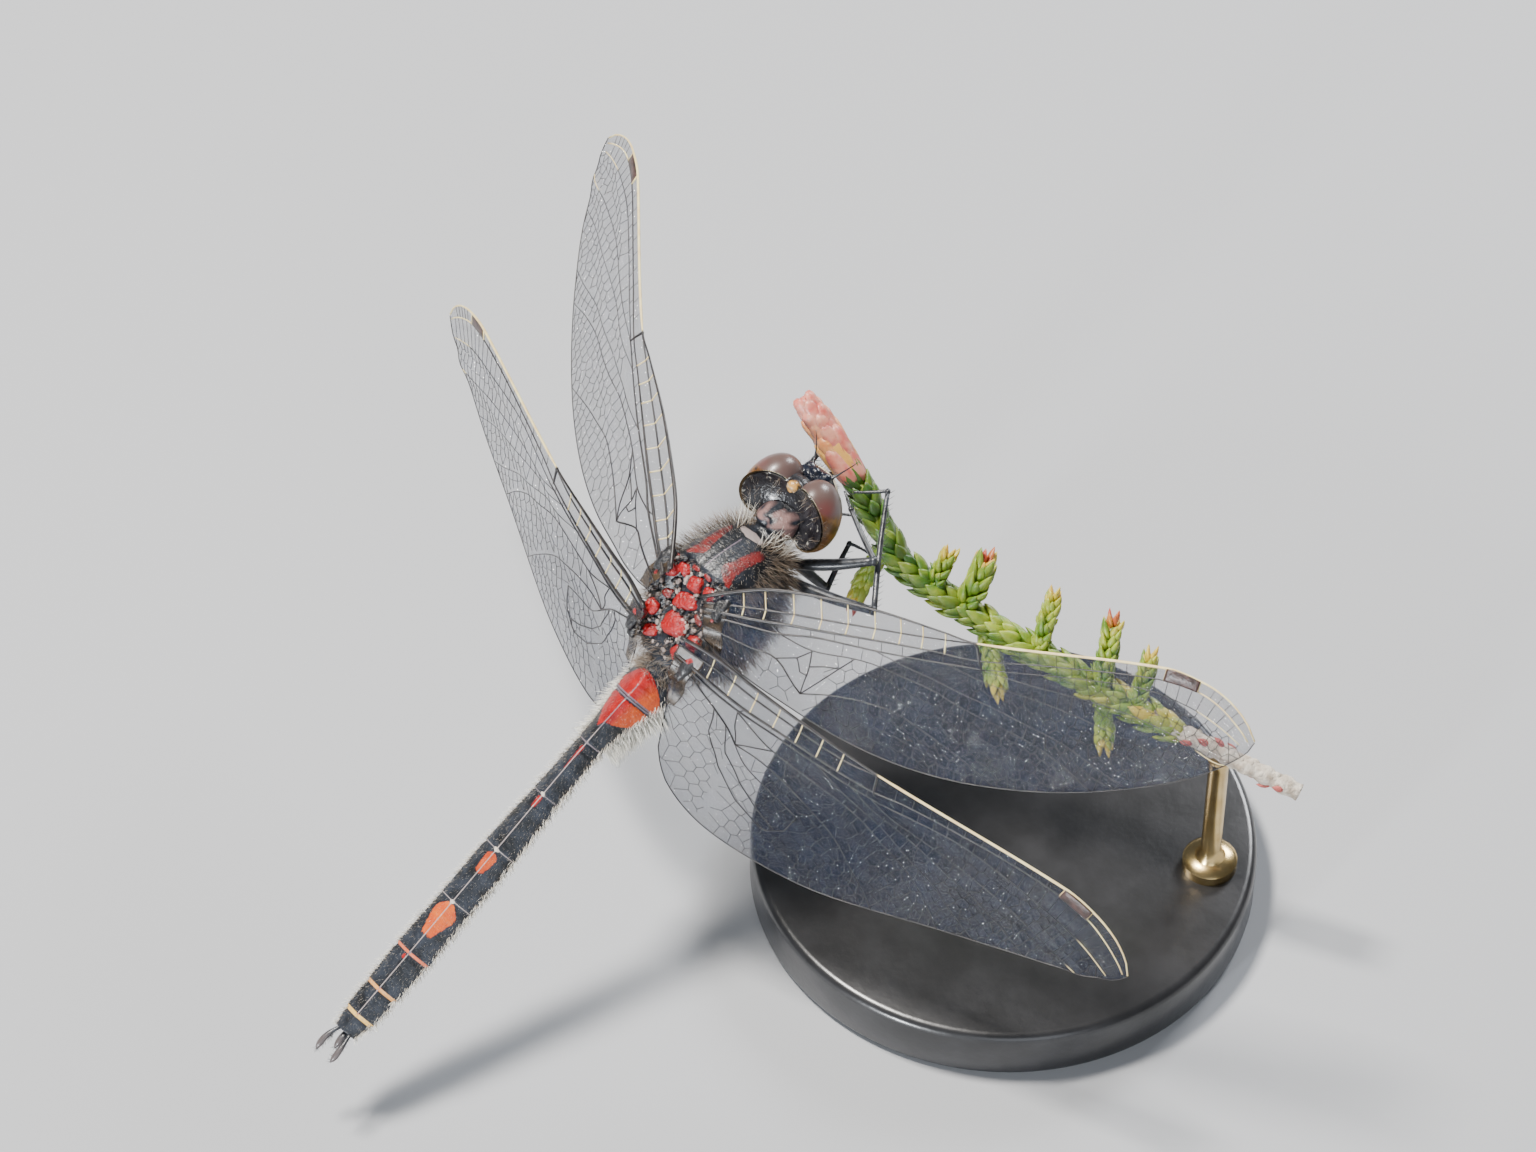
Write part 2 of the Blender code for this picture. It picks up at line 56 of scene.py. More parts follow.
def between(table, at, column=1):  # smooth curve through the rows of a table
    if at <= table[0][0]:
        return table[0][column]
    if at >= table[-1][0]:
        return table[-1][column]
    i = next(n for n in range(len(table) - 1) if at <= table[n + 1][0])

    def slope(n):
        a, b = table[max(n - 1, 0)], table[min(n + 1, len(table) - 1)]
        return (b[column] - a[column]) / (b[0] - a[0])

    low, high = table[i], table[i + 1]
    h = high[0] - low[0]
    t = (at - low[0]) / h
    return ((2 * t ** 3 - 3 * t * t + 1) * low[column] + (t ** 3 - 2 * t * t + t) * h * slope(i)
            + (3 * t * t - 2 * t ** 3) * high[column] + (t ** 3 - t * t) * h * slope(i + 1))


def bell(x, width):
    return math.exp(-(x / width) ** 2)


def power(value, exponent):
    return math.copysign(abs(value) ** exponent, value)


def unit(rows):
    return rows / np.maximum(np.linalg.norm(rows, axis=-1, keepdims=True), 1e-9)


def dress(mesh, name, material, nodes, space):  # the finished mesh becomes a piece of the model
    place = mesh.attributes.new("place", "FLOAT_VECTOR", "POINT")
    spots = np.empty(len(mesh.vertices) * 3, np.float32)
    mesh.vertices.foreach_get("co", spots)
    place.data.foreach_set("vector", spots)
    mesh.transform(space)
    mesh.shade_smooth()
    mesh.materials.append(material)
    obj = bpy.data.objects.new(name, mesh)
    bpy.context.scene.collection.objects.link(obj)
    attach(obj, "root")
    if nodes:
        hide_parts(*nodes)
    return obj


def addPiece(name, bm, material, nodes=(), space=toWorld, sharp=None):
    bmesh.ops.recalc_face_normals(bm, faces=bm.faces)
    mesh = bpy.data.meshes.new(name)
    bm.to_mesh(mesh)
    bm.free()
    obj = dress(mesh, name, material, nodes, space)
    if sharp is not None:
        mesh.set_sharp_from_angle(angle=math.radians(sharp))
    return obj


def addSheet(bm, across, along, place):  # a grid whose every point is put where place(u, v) says
    made = bmesh.ops.create_grid(bm, x_segments=across, y_segments=along, size=0.5)["verts"]
    for vert in made:
        vert.co = place(vert.co.x + 0.5, vert.co.y + 0.5)
    return made


def mark(mesh, name, values):  # one number per point, for a material to read
    mesh.attributes.new(name, "FLOAT", "POINT").data.foreach_set("value", np.asarray(values, np.float32))


# Arrays for the many small things
def newStore():
    return {"verts": [], "faces": [], "tint": [], "maps": [], "count": 0}


def storeTube(store, points, radii, up, sides=6, tint=0.0, flat=1.0):
    points = np.asarray(points, float)
    radii = np.broadcast_to(np.asarray(radii, float), len(points))
    run = unit(np.gradient(points, axis=0))
    side = unit(np.cross(run, up))
    lift = np.cross(side, run) * flat
    turn = 2 * math.pi * np.arange(sides) / sides
    ring = (points[:, None] + radii[:, None, None]
            * (side[:, None] * np.cos(turn)[None, :, None] + lift[:, None] * np.sin(turn)[None, :, None]))
    start, n = store["count"], len(points)
    store["verts"].append(ring.reshape(-1, 3))
    store["tint"].append(np.repeat(np.broadcast_to(np.asarray(tint, float), n), sides))
    store["count"] += n * sides
    for i in range(n - 1):
        for k in range(sides):
            a, b = start + i * sides + k, start + i * sides + (k + 1) % sides
            store["faces"].append((a, b, b + sides, a + sides))
    store["faces"].append(tuple(start + k for k in range(sides))[::-1])
    store["faces"].append(tuple(start + (n - 1) * sides + k for k in range(sides)))


def storePiece(store, name, material, nodes=()):
    mesh = bpy.data.meshes.new(name)
    mesh.from_pydata(np.concatenate(store["verts"]).tolist(), [], store["faces"])
    mark(mesh, "tint", np.concatenate(store["tint"]))
    if store["maps"]:
        corners = np.empty(len(mesh.loops), np.int32)
        mesh.loops.foreach_get("vertex_index", corners)
        maps = np.concatenate(store["maps"])[corners]
        mesh.uv_layers.new(name="OFBake").data.foreach_set("uv", maps.reshape(-1).astype(np.float32))
    return dress(mesh, name, material, nodes, toWorld)


# Material helpers
finish = {}  # tree and shader of the material being made


def newFinish(name, rough, **sockets):
    made = bpy.data.materials.new(name)
    made.use_nodes = True
    finish["tree"], finish["shader"] = made.node_tree, made.node_tree.nodes["Principled BSDF"]
    for key, value in {"Roughness": rough, **sockets}.items():
        finish["shader"].inputs[key.replace("_", " ")].default_value = value
    return made


def fill(made, key, value):
    if isinstance(value, bpy.types.NodeSocket):
        finish["tree"].links.new(value, made.inputs[key])
    else:
        made.inputs[key].default_value = value


def wire(kind, inputs=None, **settings):
    made = finish["tree"].nodes.new(kind)
    for key, value in settings.items():
        setattr(made, key, value)
    for key, value in (inputs or {}).items():
        fill(made, key, value)
    return made


def mixed(factor, a, b):
    a, b = ((*hue, 1.0) if isinstance(hue, tuple) else hue for hue in (a, b))
    return wire("ShaderNodeMix", {0: factor, 6: a, 7: b}, data_type="RGBA").outputs[2]


def ranged(value, low, high, toLow=0.0, toHigh=1.0, **settings):
    return wire("ShaderNodeMapRange", {0: value, 1: low, 2: high, 3: toLow, 4: toHigh}, **settings).outputs[0]


def marked(name, output="Fac"):
    return wire("ShaderNodeAttribute", attribute_name=name).outputs[output]


def reading(name, low, high):  # attribute as a soft-edged mask
    return ranged(marked(name), low, high, interpolation_type="SMOOTHSTEP")


def grain(scale, detail=2.0, low=0.35, high=0.65, toLow=0.0, toHigh=1.0):
    made = wire("ShaderNodeTexNoise", {"Vector": marked("place", "Vector"), "Scale": scale, "Detail": detail})
    return ranged(made.outputs[0], low, high, toLow, toHigh)


def pits(scale, low=0.0, high=0.5):
    made = wire("ShaderNodeTexVoronoi", {"Vector": marked("place", "Vector"), "Scale": scale})
    return ranged(made.outputs["Distance"], low, high)


def worked(a, b, operation="MULTIPLY"):
    return wire("ShaderNodeMath", {0: a, 1: b}, operation=operation).outputs[0]


def plus(a, b):
    return worked(a, b, "ADD")


def paint(color, height=None, strength=0.0, depth=0.0):  # depth of the relief in mm
    fill(finish["shader"], "Base Color", color)
    if height:
        bump = wire("ShaderNodeBump", {"Height": height, "Strength": strength, "Distance": depth * mm})
        fill(finish["shader"], "Normal", bump.outputs[0])


# Wings: x runs along the span as a share of the length, y back from the front edge line in mm
foreWing = {
    "length": 26.7, "root": (2.02, -1.37, -0.01), "nodus": 0.485, "stigma": (0.832, 0.893), "patch": 0.5,
    "antenodals": (0.045, 0.085, 0.138, 0.19, 0.24, 0.291, 0.34, 0.382, 0.425),
    "curves": {  # costa rows also say how far the front strip dips below the plane
        "costa": ((-0.03, -0.5, 0.1), (0.04, -0.95, 0.3), (0.1, -1.2, 0.4), (0.19, -1.15, 0.4),
                  (0.3, -0.85, 0.35), (0.42, -0.3, 0.15), (0.485, 0.0, 0.0), (0.83, 0.0, 0.0),
                  (0.9, 0.5, 0.0), (0.94, 1.1, 0.0), (0.97, 1.9, 0.0), (0.985, 2.55, 0.0),
                  (0.992, 3.05, 0.0)),
        "trail": ((-0.03, 1.6), (0.0, 2.3), (0.03, 2.8), (0.11, 4.1), (0.22, 5.5), (0.33, 6.5), (0.44, 7.0),
                  (0.56, 7.05), (0.67, 6.75), (0.78, 6.1), (0.88, 5.25), (0.94, 4.4), (0.97, 3.85),
                  (0.985, 3.45), (0.992, 3.1)),
        "subcosta": ((-0.03, -0.2), (0.135, -0.05), (0.24, 0.06), (0.38, 0.12), (0.485, 0.02)),
        "radius": ((-0.03, 0.05), (0.06, 0.27), (0.135, 0.33), (0.2, 0.42), (0.3, 0.52), (0.4, 0.66),
                   (0.485, 0.85), (0.6, 0.68), (0.75, 0.56), (0.83, 0.62), (0.89, 0.98), (0.93, 1.6),
                   (0.965, 2.55), (0.98, 3.1)),
        "stem": ((-0.03, 0.35), (0.06, 0.68), (0.12, 0.85), (0.18, 0.8), (0.24, 0.92), (0.3, 1.06),
                 (0.4, 1.2), (0.5, 1.3)),
        "tipVein": ((0.5, 1.28), (0.6, 1.18), (0.7, 1.1), (0.8, 1.2), (0.88, 1.8), (0.93, 2.55),
                    (0.965, 3.3)),
        "second": ((0.49, 1.3), (0.56, 1.6), (0.65, 1.95), (0.75, 2.45), (0.85, 3.3), (0.92, 4.3),
                   (0.94, 4.4)),
        "between": ((0.43, 1.25), (0.5, 1.85), (0.6, 2.5), (0.7, 3.2), (0.8, 4.2), (0.88, 5.25)),
        "third": ((0.3, 1.1), (0.355, 1.6), (0.403, 2.02), (0.455, 2.6), (0.55, 3.4), (0.64, 4.4),
                  (0.72, 5.6), (0.765, 6.2)),
        "media": ((0.12, 0.88), (0.18, 1.42), (0.26, 1.55), (0.303, 1.75), (0.353, 2.2), (0.403, 2.65),
                  (0.455, 3.25), (0.55, 4.2), (0.64, 5.4), (0.7, 6.65)),
        "cubitus": ((0.157, 3.68), (0.217, 3.55), (0.277, 3.65), (0.335, 4.0), (0.39, 4.8), (0.453, 5.75),
                    (0.52, 7.05)),
        "anal": ((-0.03, 0.9), (0.005, 1.15), (0.065, 1.72), (0.109, 2.1), (0.157, 3.68)),
    },
    "lines": (((0.1, 0.34), (0.108, 0.6), (0.12, 0.86)), ((0.18, 1.42), (0.17, 2.6), (0.157, 3.68)),
              ((0.26, 1.55), (0.21, 2.6), (0.157, 3.68)), ((0.109, 2.1), (0.15, 1.92), (0.18, 1.45)),
              ((0.174, 2.3), (0.2, 2.2), (0.228, 2.2)), ((0.15, 1.92), (0.155, 2.6), (0.17, 2.75))),
    "fields": (("costa", "radius", 0.492, 0.828, 0.95, 0.8, 2.0),  # veins, start, end, cell lengths, height
               ("costa", "radius", 0.9, 0.975, 0.4, 0.3, 2.0), ("radius", "stem", 0.13, 0.49, 1.25, 0.9, 2.0),
               ("radius", "tipVein", 0.51, 0.975, 0.85, 0.45, 2.0),
               ("tipVein", "second", 0.53, 0.98, 0.75, 0.45, 0.75),
               ("second", "between", 0.51, 0.935, 0.7, 0.45, 0.8),
               ("between", "third", 0.44, 0.875, 0.75, 0.45, 0.75),
               ("stem", "media", 0.2, 0.33, 1.0, 0.9, 2.0), ("third", "media", 0.33, 0.76, 0.68, 0.38, 0.85),
               ("media", "cubitus", 0.2, 0.68, 0.72, 0.4, 0.78),
               ("cubitus", "trail", 0.16, 0.51, 0.7, 0.42, 0.72),
               ("anal", "trail", 0.0, 0.157, 0.9, 0.8, 1.0), ("stem", "anal", 0.02, 0.1, 1.1, 1.0, 2.0)),
}
hindWing = {
    "length": 25.6, "root": (1.96, 1.66, -0.81), "nodus": 0.415, "stigma": (0.822, 0.885), "patch": 0.7,
    "antenodals": (0.045, 0.094, 0.145, 0.196, 0.246, 0.293, 0.34),
    "curves": {
        "costa": ((-0.03, -1.1, 0.1), (0.05, -1.0, 0.2), (0.14, -0.6, 0.2), (0.25, -0.25, 0.15),
                  (0.415, 0.0, 0.0), (0.82, 0.0, 0.0), (0.89, 0.4, 0.0), (0.94, 1.05, 0.0), (0.97, 1.75, 0.0),
                  (0.985, 2.3, 0.0), (0.992, 2.75, 0.0)),
        "trail": ((-0.03, 1.2), (-0.02, 1.8), (-0.01, 3.0), (0.003, 5.6), (0.015, 6.6), (0.045, 7.75),
                  (0.115, 8.8), (0.2, 9.2), (0.31, 9.15), (0.4, 8.8), (0.51, 7.9), (0.61, 6.95), (0.77, 5.5),
                  (0.86, 4.8), (0.925, 4.15), (0.965, 3.6), (0.985, 3.15), (0.992, 2.85)),
        "subcosta": ((-0.03, -0.6), (0.09, -0.15), (0.14, 0.08), (0.25, 0.35), (0.35, 0.35), (0.415, 0.03)),
        "radius": ((-0.03, -0.1), (0.05, 0.4), (0.09, 0.62), (0.14, 0.82), (0.2, 0.92), (0.29, 1.08),
                   (0.36, 1.15), (0.42, 1.1), (0.48, 0.8), (0.6, 0.55), (0.72, 0.45), (0.82, 0.6),
                   (0.885, 1.0), (0.935, 1.75), (0.97, 2.5), (0.982, 2.85)),
        "stem": ((-0.03, 0.2), (0.05, 0.8), (0.1, 1.08), (0.14, 1.22), (0.2, 1.32), (0.29, 1.5), (0.36, 1.62),
                 (0.44, 1.6)),
        "tipVein": ((0.44, 1.58), (0.5, 1.38), (0.6, 1.15), (0.69, 1.3), (0.77, 1.65), (0.85, 2.2),
                    (0.91, 2.85), (0.955, 3.5)),
        "second": ((0.42, 1.65), (0.48, 2.0), (0.56, 2.3), (0.64, 2.6), (0.76, 3.15), (0.85, 4.0),
                   (0.9, 4.45)),
        "between": ((0.38, 1.68), (0.43, 2.1), (0.51, 2.65), (0.58, 3.05), (0.66, 3.6), (0.74, 4.5),
                    (0.8, 5.3)),
        "third": ((0.3, 1.55), (0.35, 2.0), (0.4, 2.4), (0.478, 3.1), (0.53, 3.65), (0.58, 4.3), (0.65, 5.4),
                  (0.7, 6.1)),
        "media": ((0.123, 1.25), (0.17, 1.75), (0.214, 2.16), (0.31, 2.6), (0.405, 3.1), (0.478, 3.77),
                  (0.53, 4.5), (0.58, 5.4), (0.63, 6.75)),
        "cubitus": ((0.141, 3.14), (0.2, 3.25), (0.27, 3.7), (0.34, 4.5), (0.4, 5.5), (0.46, 6.9),
                    (0.5, 8.0)),
        "anal": ((-0.03, 0.6), (0.01, 0.75), (0.05, 1.25), (0.08, 1.68), (0.11, 2.35), (0.141, 3.14)),
        "loopFar": ((0.141, 3.14), (0.17, 3.85), (0.198, 4.3), (0.243, 4.75), (0.302, 5.3)),
    },
    "lines": (((0.135, 0.8), (0.13, 1.0), (0.123, 1.25)), ((0.123, 1.25), (0.13, 2.2), (0.141, 3.14)),
              ((0.214, 2.16), (0.18, 2.7), (0.141, 3.14)),
              ((0.302, 5.3), (0.29, 6.4), (0.258, 7.05), (0.243, 7.1)),
              ((0.08, 1.68), (0.085, 3.2), (0.125, 5.0), (0.18, 6.3), (0.243, 7.1)),
              ((0.11, 2.35), (0.13, 3.9), (0.175, 5.2), (0.225, 6.1), (0.27, 6.75))),
    "fields": (("costa", "radius", 0.42, 0.815, 1.0, 0.85, 2.0),
               ("costa", "radius", 0.89, 0.975, 0.4, 0.3, 2.0),
               ("radius", "stem", 0.15, 0.43, 1.2, 0.95, 2.0),
               ("radius", "tipVein", 0.45, 0.975, 0.85, 0.45, 2.0),
               ("tipVein", "second", 0.48, 0.96, 0.75, 0.45, 0.8),
               ("second", "between", 0.43, 0.895, 0.7, 0.45, 0.8),
               ("between", "third", 0.4, 0.79, 0.75, 0.45, 0.78),
               ("stem", "media", 0.17, 0.32, 1.0, 0.9, 2.0), ("third", "media", 0.35, 0.69, 0.66, 0.38, 0.82),
               ("media", "cubitus", 0.19, 0.62, 0.75, 0.5, 0.82),
               ("cubitus", "trail", 0.3, 0.49, 0.66, 0.42, 0.68),
               ("anal", "trail", -0.01, 0.141, 0.85, 0.75, 0.85),
               ("loopFar", "trail", 0.141, 0.302, 0.72, 0.62, 0.78),
               ("cubitus", "loopFar", 0.16, 0.3, 0.7, 0.7, 0.75), ("stem", "anal", 0.02, 0.1, 1.1, 1.0, 2.0)),
}
wingHolds = {  # side, then degrees swept forward, lifted, and trailing edge down, then bow
    "fore_right": (foreWing, -1, 30.9, -10.7, 27.2, 0.0003),
    "fore_left": (foreWing, 1, 33.3, -13.1, 28.4, 0.0025),
    "hind_right": (hindWing, -1, 7.9, -20.3, 37.9, -0.0004),
    "hind_left": (hindWing, 1, 12.1, -15.3, 43.1, 0.0002),
}
veinSize = {"costa": (0.105, 0.045), "subcosta": (0.06, 0.038), "radius": (0.085, 0.034),
            "trail": (0.034, 0.026), "stem": (0.06, 0.034), "media": (0.04, 0.024), "cubitus": (0.04, 0.024),
            "anal": (0.05, 0.03), "tipVein": (0.03, 0.024), "second": (0.028, 0.021),
            "between": (0.026, 0.019), "third": (0.03, 0.021), "loopFar": (0.03, 0.026)}
crossSize, filmThick = 0.016, 0.012


def wingMap(hold, rows):  # rows of share, y, lift in the wing's plane to the body frame
    plan, side, sweep, droop, pitch, bow = hold
    turn = np.eye(3)
    for angle, axis in ((sweep, "Z"), (droop, "Y"), (pitch, "X")):
        turn = turn @ np.array(Matrix.Rotation(math.radians(-angle), 3, axis))
    rows = np.asarray(rows, float)
    x = rows[:, 0] * plan["length"]
    local = np.stack([x, rows[:, 1], rows[:, 2] - bow * x * x], 1)
    return (np.array(plan["root"]) + local @ turn.T) * (side, 1, 1)


def wingLift(plan, share, y):  # pleats of the front strip, gentle ripples behind it
    curves = plan["curves"]
    ridge, front = between(curves["radius"], share), between(curves["costa"], share)
    dip = between(curves["costa"], share, 2)
    if y < ridge:
        valley = between(curves["subcosta"], share) if share < plan["nodus"] else (ridge + front) / 2
        depth = 1.2 * dip if share < plan["nodus"] else 0.06
        if y > valley:
            return -depth * (ridge - y) / max(ridge - valley, 0.05)
        return -depth + (depth - 0.85 * dip) * (valley - y) / max(valley - front, 0.05)
    back = y - ridge
    ripple = -0.075 * math.sin(2 * math.pi * back / (1.3 + 0.12 * back)) * soft(0, 0.4, back)
    return ripple * (1 - 0.6 * soft(2.5, 6, back)) * (1 - soft(0.9, 0.99, share))


def clampY(plan, share, y):
    return min(max(y, between(plan["curves"]["costa"], share)), between(plan["curves"]["trail"], share))


def onWing(hold, points):
    plan = hold[0]
    rows = []
    for share, y in points:
        y = clampY(plan, share, y)
        rows.append((share, y, wingLift(plan, share, y)))
    return wingMap(hold, rows)


def mirrored(curve, share, x, y, length):  # a seed's twin on the other side of a vein
    level, step = between(curve, share), 0.01
    lean = (between(curve, share + step) - between(curve, share - step)) / (2 * step * length)
    gap = (y - level) / (1 + lean * lean)
    return (x + 2 * gap * lean, y - 2 * gap)


def cellWalls(plan, field, draw):  # cross-veins of one field, as the borders between its cells
    front, rear, start, end, firstLong, lastLong, tall = field
    length, curves = plan["length"], plan["curves"]
    seeds, twins = [], []
    x = start * length + 0.5 * firstLong
    while x < end * length:
        share = x / length
        low, high = between(curves[front], share), between(curves[rear], share)
        part = (share - start) / (end - start)
        step = firstLong + (lastLong - firstLong) * part
        rows = max(1, round((high - low) / (tall * (1 - 0.42 * part))))
        if high - low > 0.1:
            for row in range(rows):
                shift = (0.5 * step if row % 2 else 0.0) + draw.uniform(-0.07, 0.07) * step
                y = low + (high - low) * (row + 0.5 + draw.uniform(-0.08, 0.08) * (rows > 1)) / rows
                seeds.append((x + shift, y))
                if row == 0:
                    twins.append(mirrored(curves[front], share, x + shift, y, length))
                if row == rows - 1:
                    twins.append(mirrored(curves[rear], share, x + shift, y, length))
                if x - start * length < firstLong:
                    twins.append((2 * start * length - x - shift, y))
                if end * length - x < step:
                    twins.append((2 * end * length - x - shift, y))
        x += step
    points = [Vector(p) for p in seeds + twins]
    spots, _, faces, sources, _, _ = geometry.delaunay_2d_cdt(points, [], [], 0, 1e-5)
    centres, walls = [], {}
    for number, face in enumerate(faces):
        a, b, c = (spots[i] for i in face)
        d = 2 * (a.x * (b.y - c.y) + b.x * (c.y - a.y) + c.x * (a.y - b.y))
        sa, sb, sc = a.length_squared, b.length_squared, c.length_squared
        if abs(d) < 1e-9:
            centres.append((a + b + c) / 3)
        else:
            centres.append(Vector(((sa * (b.y - c.y) + sb * (c.y - a.y) + sc * (a.y - b.y)) / d,
                                   (sa * (c.x - b.x) + sb * (a.x - c.x) + sc * (b.x - a.x)) / d)))
        for k in range(3):
            walls.setdefault(frozenset((face[k], face[(k + 1) % 3])), []).append(number)
    out = []
    for pair, sides in walls.items():
        if len(sides) != 2 or any(min(sources[i]) >= len(seeds) for i in pair):
            continue
        ends = []
        for side in sides:
            share = min(max(centres[side].x / length, start), end)
            low, high = between(curves[front], share), between(curves[rear], share)
            ends.append((share, min(max(centres[side].y, low), high)))
        if math.hypot((ends[0][0] - ends[1][0]) * length, ends[0][1] - ends[1][1]) > 0.06:
            out.append(ends)
    return out


def veinTint(plan, name, share):
    nodus, stigma = plan["nodus"], plan["stigma"]
    if name == "costa":
        return soft(nodus - 0.01, nodus + 0.01, share)
    if name in ("radius", "tipVein", "second"):
        return 0.85 * soft(stigma[1] - 0.02, stigma[1] + 0.02, share) + 0.15 * soft(nodus, nodus + 0.1, share)
    return 0.0


def buildVeins(name, hold, draw):
    plan = hold[0]
    curves, length = plan["curves"], plan["length"]
    up = wingMap(hold, [(0, 0, 1)])[0] - wingMap(hold, [(0, 0, 0)])[0]
    store = newStore()
    for vein, table in curves.items():
        first, last = table[0][0], table[-1][0]
        count = max(8, int((last - first) * length / 0.3))
        shares = [first + (last - first) * i / count for i in range(count + 1)]
        points = onWing(hold, [(s, between(table, s)) for s in shares])
        big, small = veinSize[vein]
        radii = [small + (big - small) * (1 - soft(0.0, 0.5, s)) for s in shares]
        if vein == "costa":
            radii = [r + 0.022 * soft(plan["nodus"], plan["nodus"] + 0.05, s) * (1 - soft(0.8, 0.97, s))
                     for r, s in zip(radii, shares)]
        storeTube(store, points, radii, up, 6, [veinTint(plan, vein, s) for s in shares])
    for line in plan["lines"]:
        fine = []
        for (s0, y0), (s1, y1) in zip(line, line[1:]):
            fine += [(s0 + (s1 - s0) * k / 4, y0 + (y1 - y0) * k / 4) for k in range(4)]
        storeTube(store, onWing(hold, fine + [line[-1]]), 0.034, up, 5)
    for share in plan["antenodals"]:
        ends = [between(curves[vein], share) for vein in ("costa", "subcosta", "radius")]
        points = onWing(hold, [(share, ends[0]), (share, (ends[0] + ends[1]) / 2), (share, ends[1]),
                               (share, (ends[1] + ends[2]) / 2), (share, ends[2])])
        storeTube(store, points, 0.038, up, 5, 1.0)
    nodal = plan["nodus"]
    knot = onWing(hold, [(nodal - 0.004, between(curves["costa"], nodal) - 0.02), (nodal, 0.25),
                         (nodal + 0.004, between(curves["radius"], nodal)), (nodal + 0.008, 1.3)])
    storeTube(store, knot, (0.09, 0.07, 0.06, 0.04), up, 5, 0.0)
    for edge in plan["stigma"]:
        ends = between(curves["costa"], edge), between(curves["radius"], edge - 0.006)
        points = onWing(hold, [(edge, ends[0]), (edge - 0.006, ends[1])])
        storeTube(store, points, 0.045, up, 5, 0.9)
    for field in plan["fields"]:
        for ends in cellWalls(plan, field, draw):
            storeTube(store, onWing(hold, ends), crossSize, up, 4)
    storePiece(store, f"wing_veins_{name}", veinFinish)


def addFilm(name, material, hold, cells, thick, place, nodes=()):  # place gives share, y and lift
    bm = bmesh.new()
    addSheet(bm, *cells, lambda u, v: Vector(wingMap(hold, [place(u, v)])[0]))
    bmesh.ops.recalc_face_normals(bm, faces=bm.faces)
    bmesh.ops.solidify(bm, geom=bm.faces[:], thickness=thick)
    addPiece(name, bm, material, nodes)


def buildMembrane(name, hold):
    plan = hold[0]
    curves = plan["curves"]

    def place(u, v):
        share = -0.03 + 1.022 * u ** 0.98
        front, rear, ridge = (between(curves[c], share) for c in ("costa", "trail", "radius"))
        ridge = min(max(ridge, front), rear)
        fold = between(curves["subcosta"], share) if share < plan["nodus"] else (front + ridge) / 2
        if v < 0.1:
            y = front + (fold - front) * v / 0.1
        elif v < 0.2:
            y = fold + (ridge - fold) * (v - 0.1) / 0.1
        else:
            y = ridge + (rear - ridge) * (v - 0.2) / 0.8
        lift = wingLift(plan, share, y)
        pucker = noise.noise(Vector((share * 38, y * 1.9, 3.0))) * 0.022
        return share, y, lift + pucker * soft(0, 0.5, y - ridge)

    addFilm(f"wing_film_{name}", filmFinish, hold, (120, 50), filmThick, place, (f"wing_{name}",))


def buildStigma(name, hold):
    plan = hold[0]
    curves = plan["curves"]
    start, end = plan["stigma"]

    def place(u, v):
        share = start + (end - start) * u - 0.006 * v
        front, rear = between(curves["costa"], share), between(curves["radius"], share)
        bulge = 0.05 * math.sin(math.pi * v) * min(1, 6 * u, 6 * (1 - u))
        return share, front + (rear - front) * v, 0.03 + bulge

    addFilm(f"wing_stigma_{name}", stigmaFinish, hold, (14, 8), 0.07, place)


def buildPatch(name, hold):  # the dark film at the root
    plan = hold[0]
    curves, reach = plan["curves"], plan["patch"]

    def place(u, v):
        far = reach * (0.85 + 0.2 * math.sin(8 * v + 1)) * (1 - 0.75 * v ** 1.5)
        share = -0.028 + u * (0.028 + far / plan["length"])
        low = between(curves["subcosta"], share)
        high = min(between(curves["trail"], share) - 0.1, 2.9)
        y = low + (high - low) * v
        return share, y, wingLift(plan, share, y) + filmThick

    addFilm(f"wing_patch_{name}", patchFinish, hold, (16, 40), filmThick, place)


# The film is clear; its dark blue base tint is a painted reflection of blue sky.
filmFinish = newFinish("clearFilm", 0.07, Alpha=0.24, IOR=1.75, Specular_IOR_Level=0.8)
paint(mixed(grain(0.9), (0.002, 0.008, 0.03), (0.009, 0.024, 0.07)),
      plus(grain(4.5, 3.0, 0.2, 0.8), pits(2.4)), 1.0, 0.2)

veinFinish = newFinish("veinHorn", 0.38)
pale = mixed(grain(2.0), (0.83, 0.72, 0.36), (0.74, 0.55, 0.25))
dark = mixed(grain(1.5), (0.008, 0.007, 0.008), (0.03, 0.025, 0.024))
paint(mixed(reading("tint", 0.3, 0.7), dark, pale), grain(12.0), 0.3, 0.01)

stigmaFinish = newFinish("stigmaHorn", 0.35)
paint(mixed(grain(3.0), (0.02, 0.012, 0.01), (0.07, 0.035, 0.03)), grain(9.0), 0.4, 0.02)

patchFinish = newFinish("rootFilm", 0.35, Alpha=0.7)
paint(mixed(grain(2.5), (0.012, 0.009, 0.008), (0.07, 0.045, 0.025)), grain(6.0), 0.2, 0.01)

for number, (name, hold) in enumerate(wingHolds.items()):
    draw = np.random.default_rng(40 + number)
    buildMembrane(name, hold)
    buildVeins(name, hold, draw)
    buildStigma(name, hold)
    buildPatch(name, hold)
print("wings built")


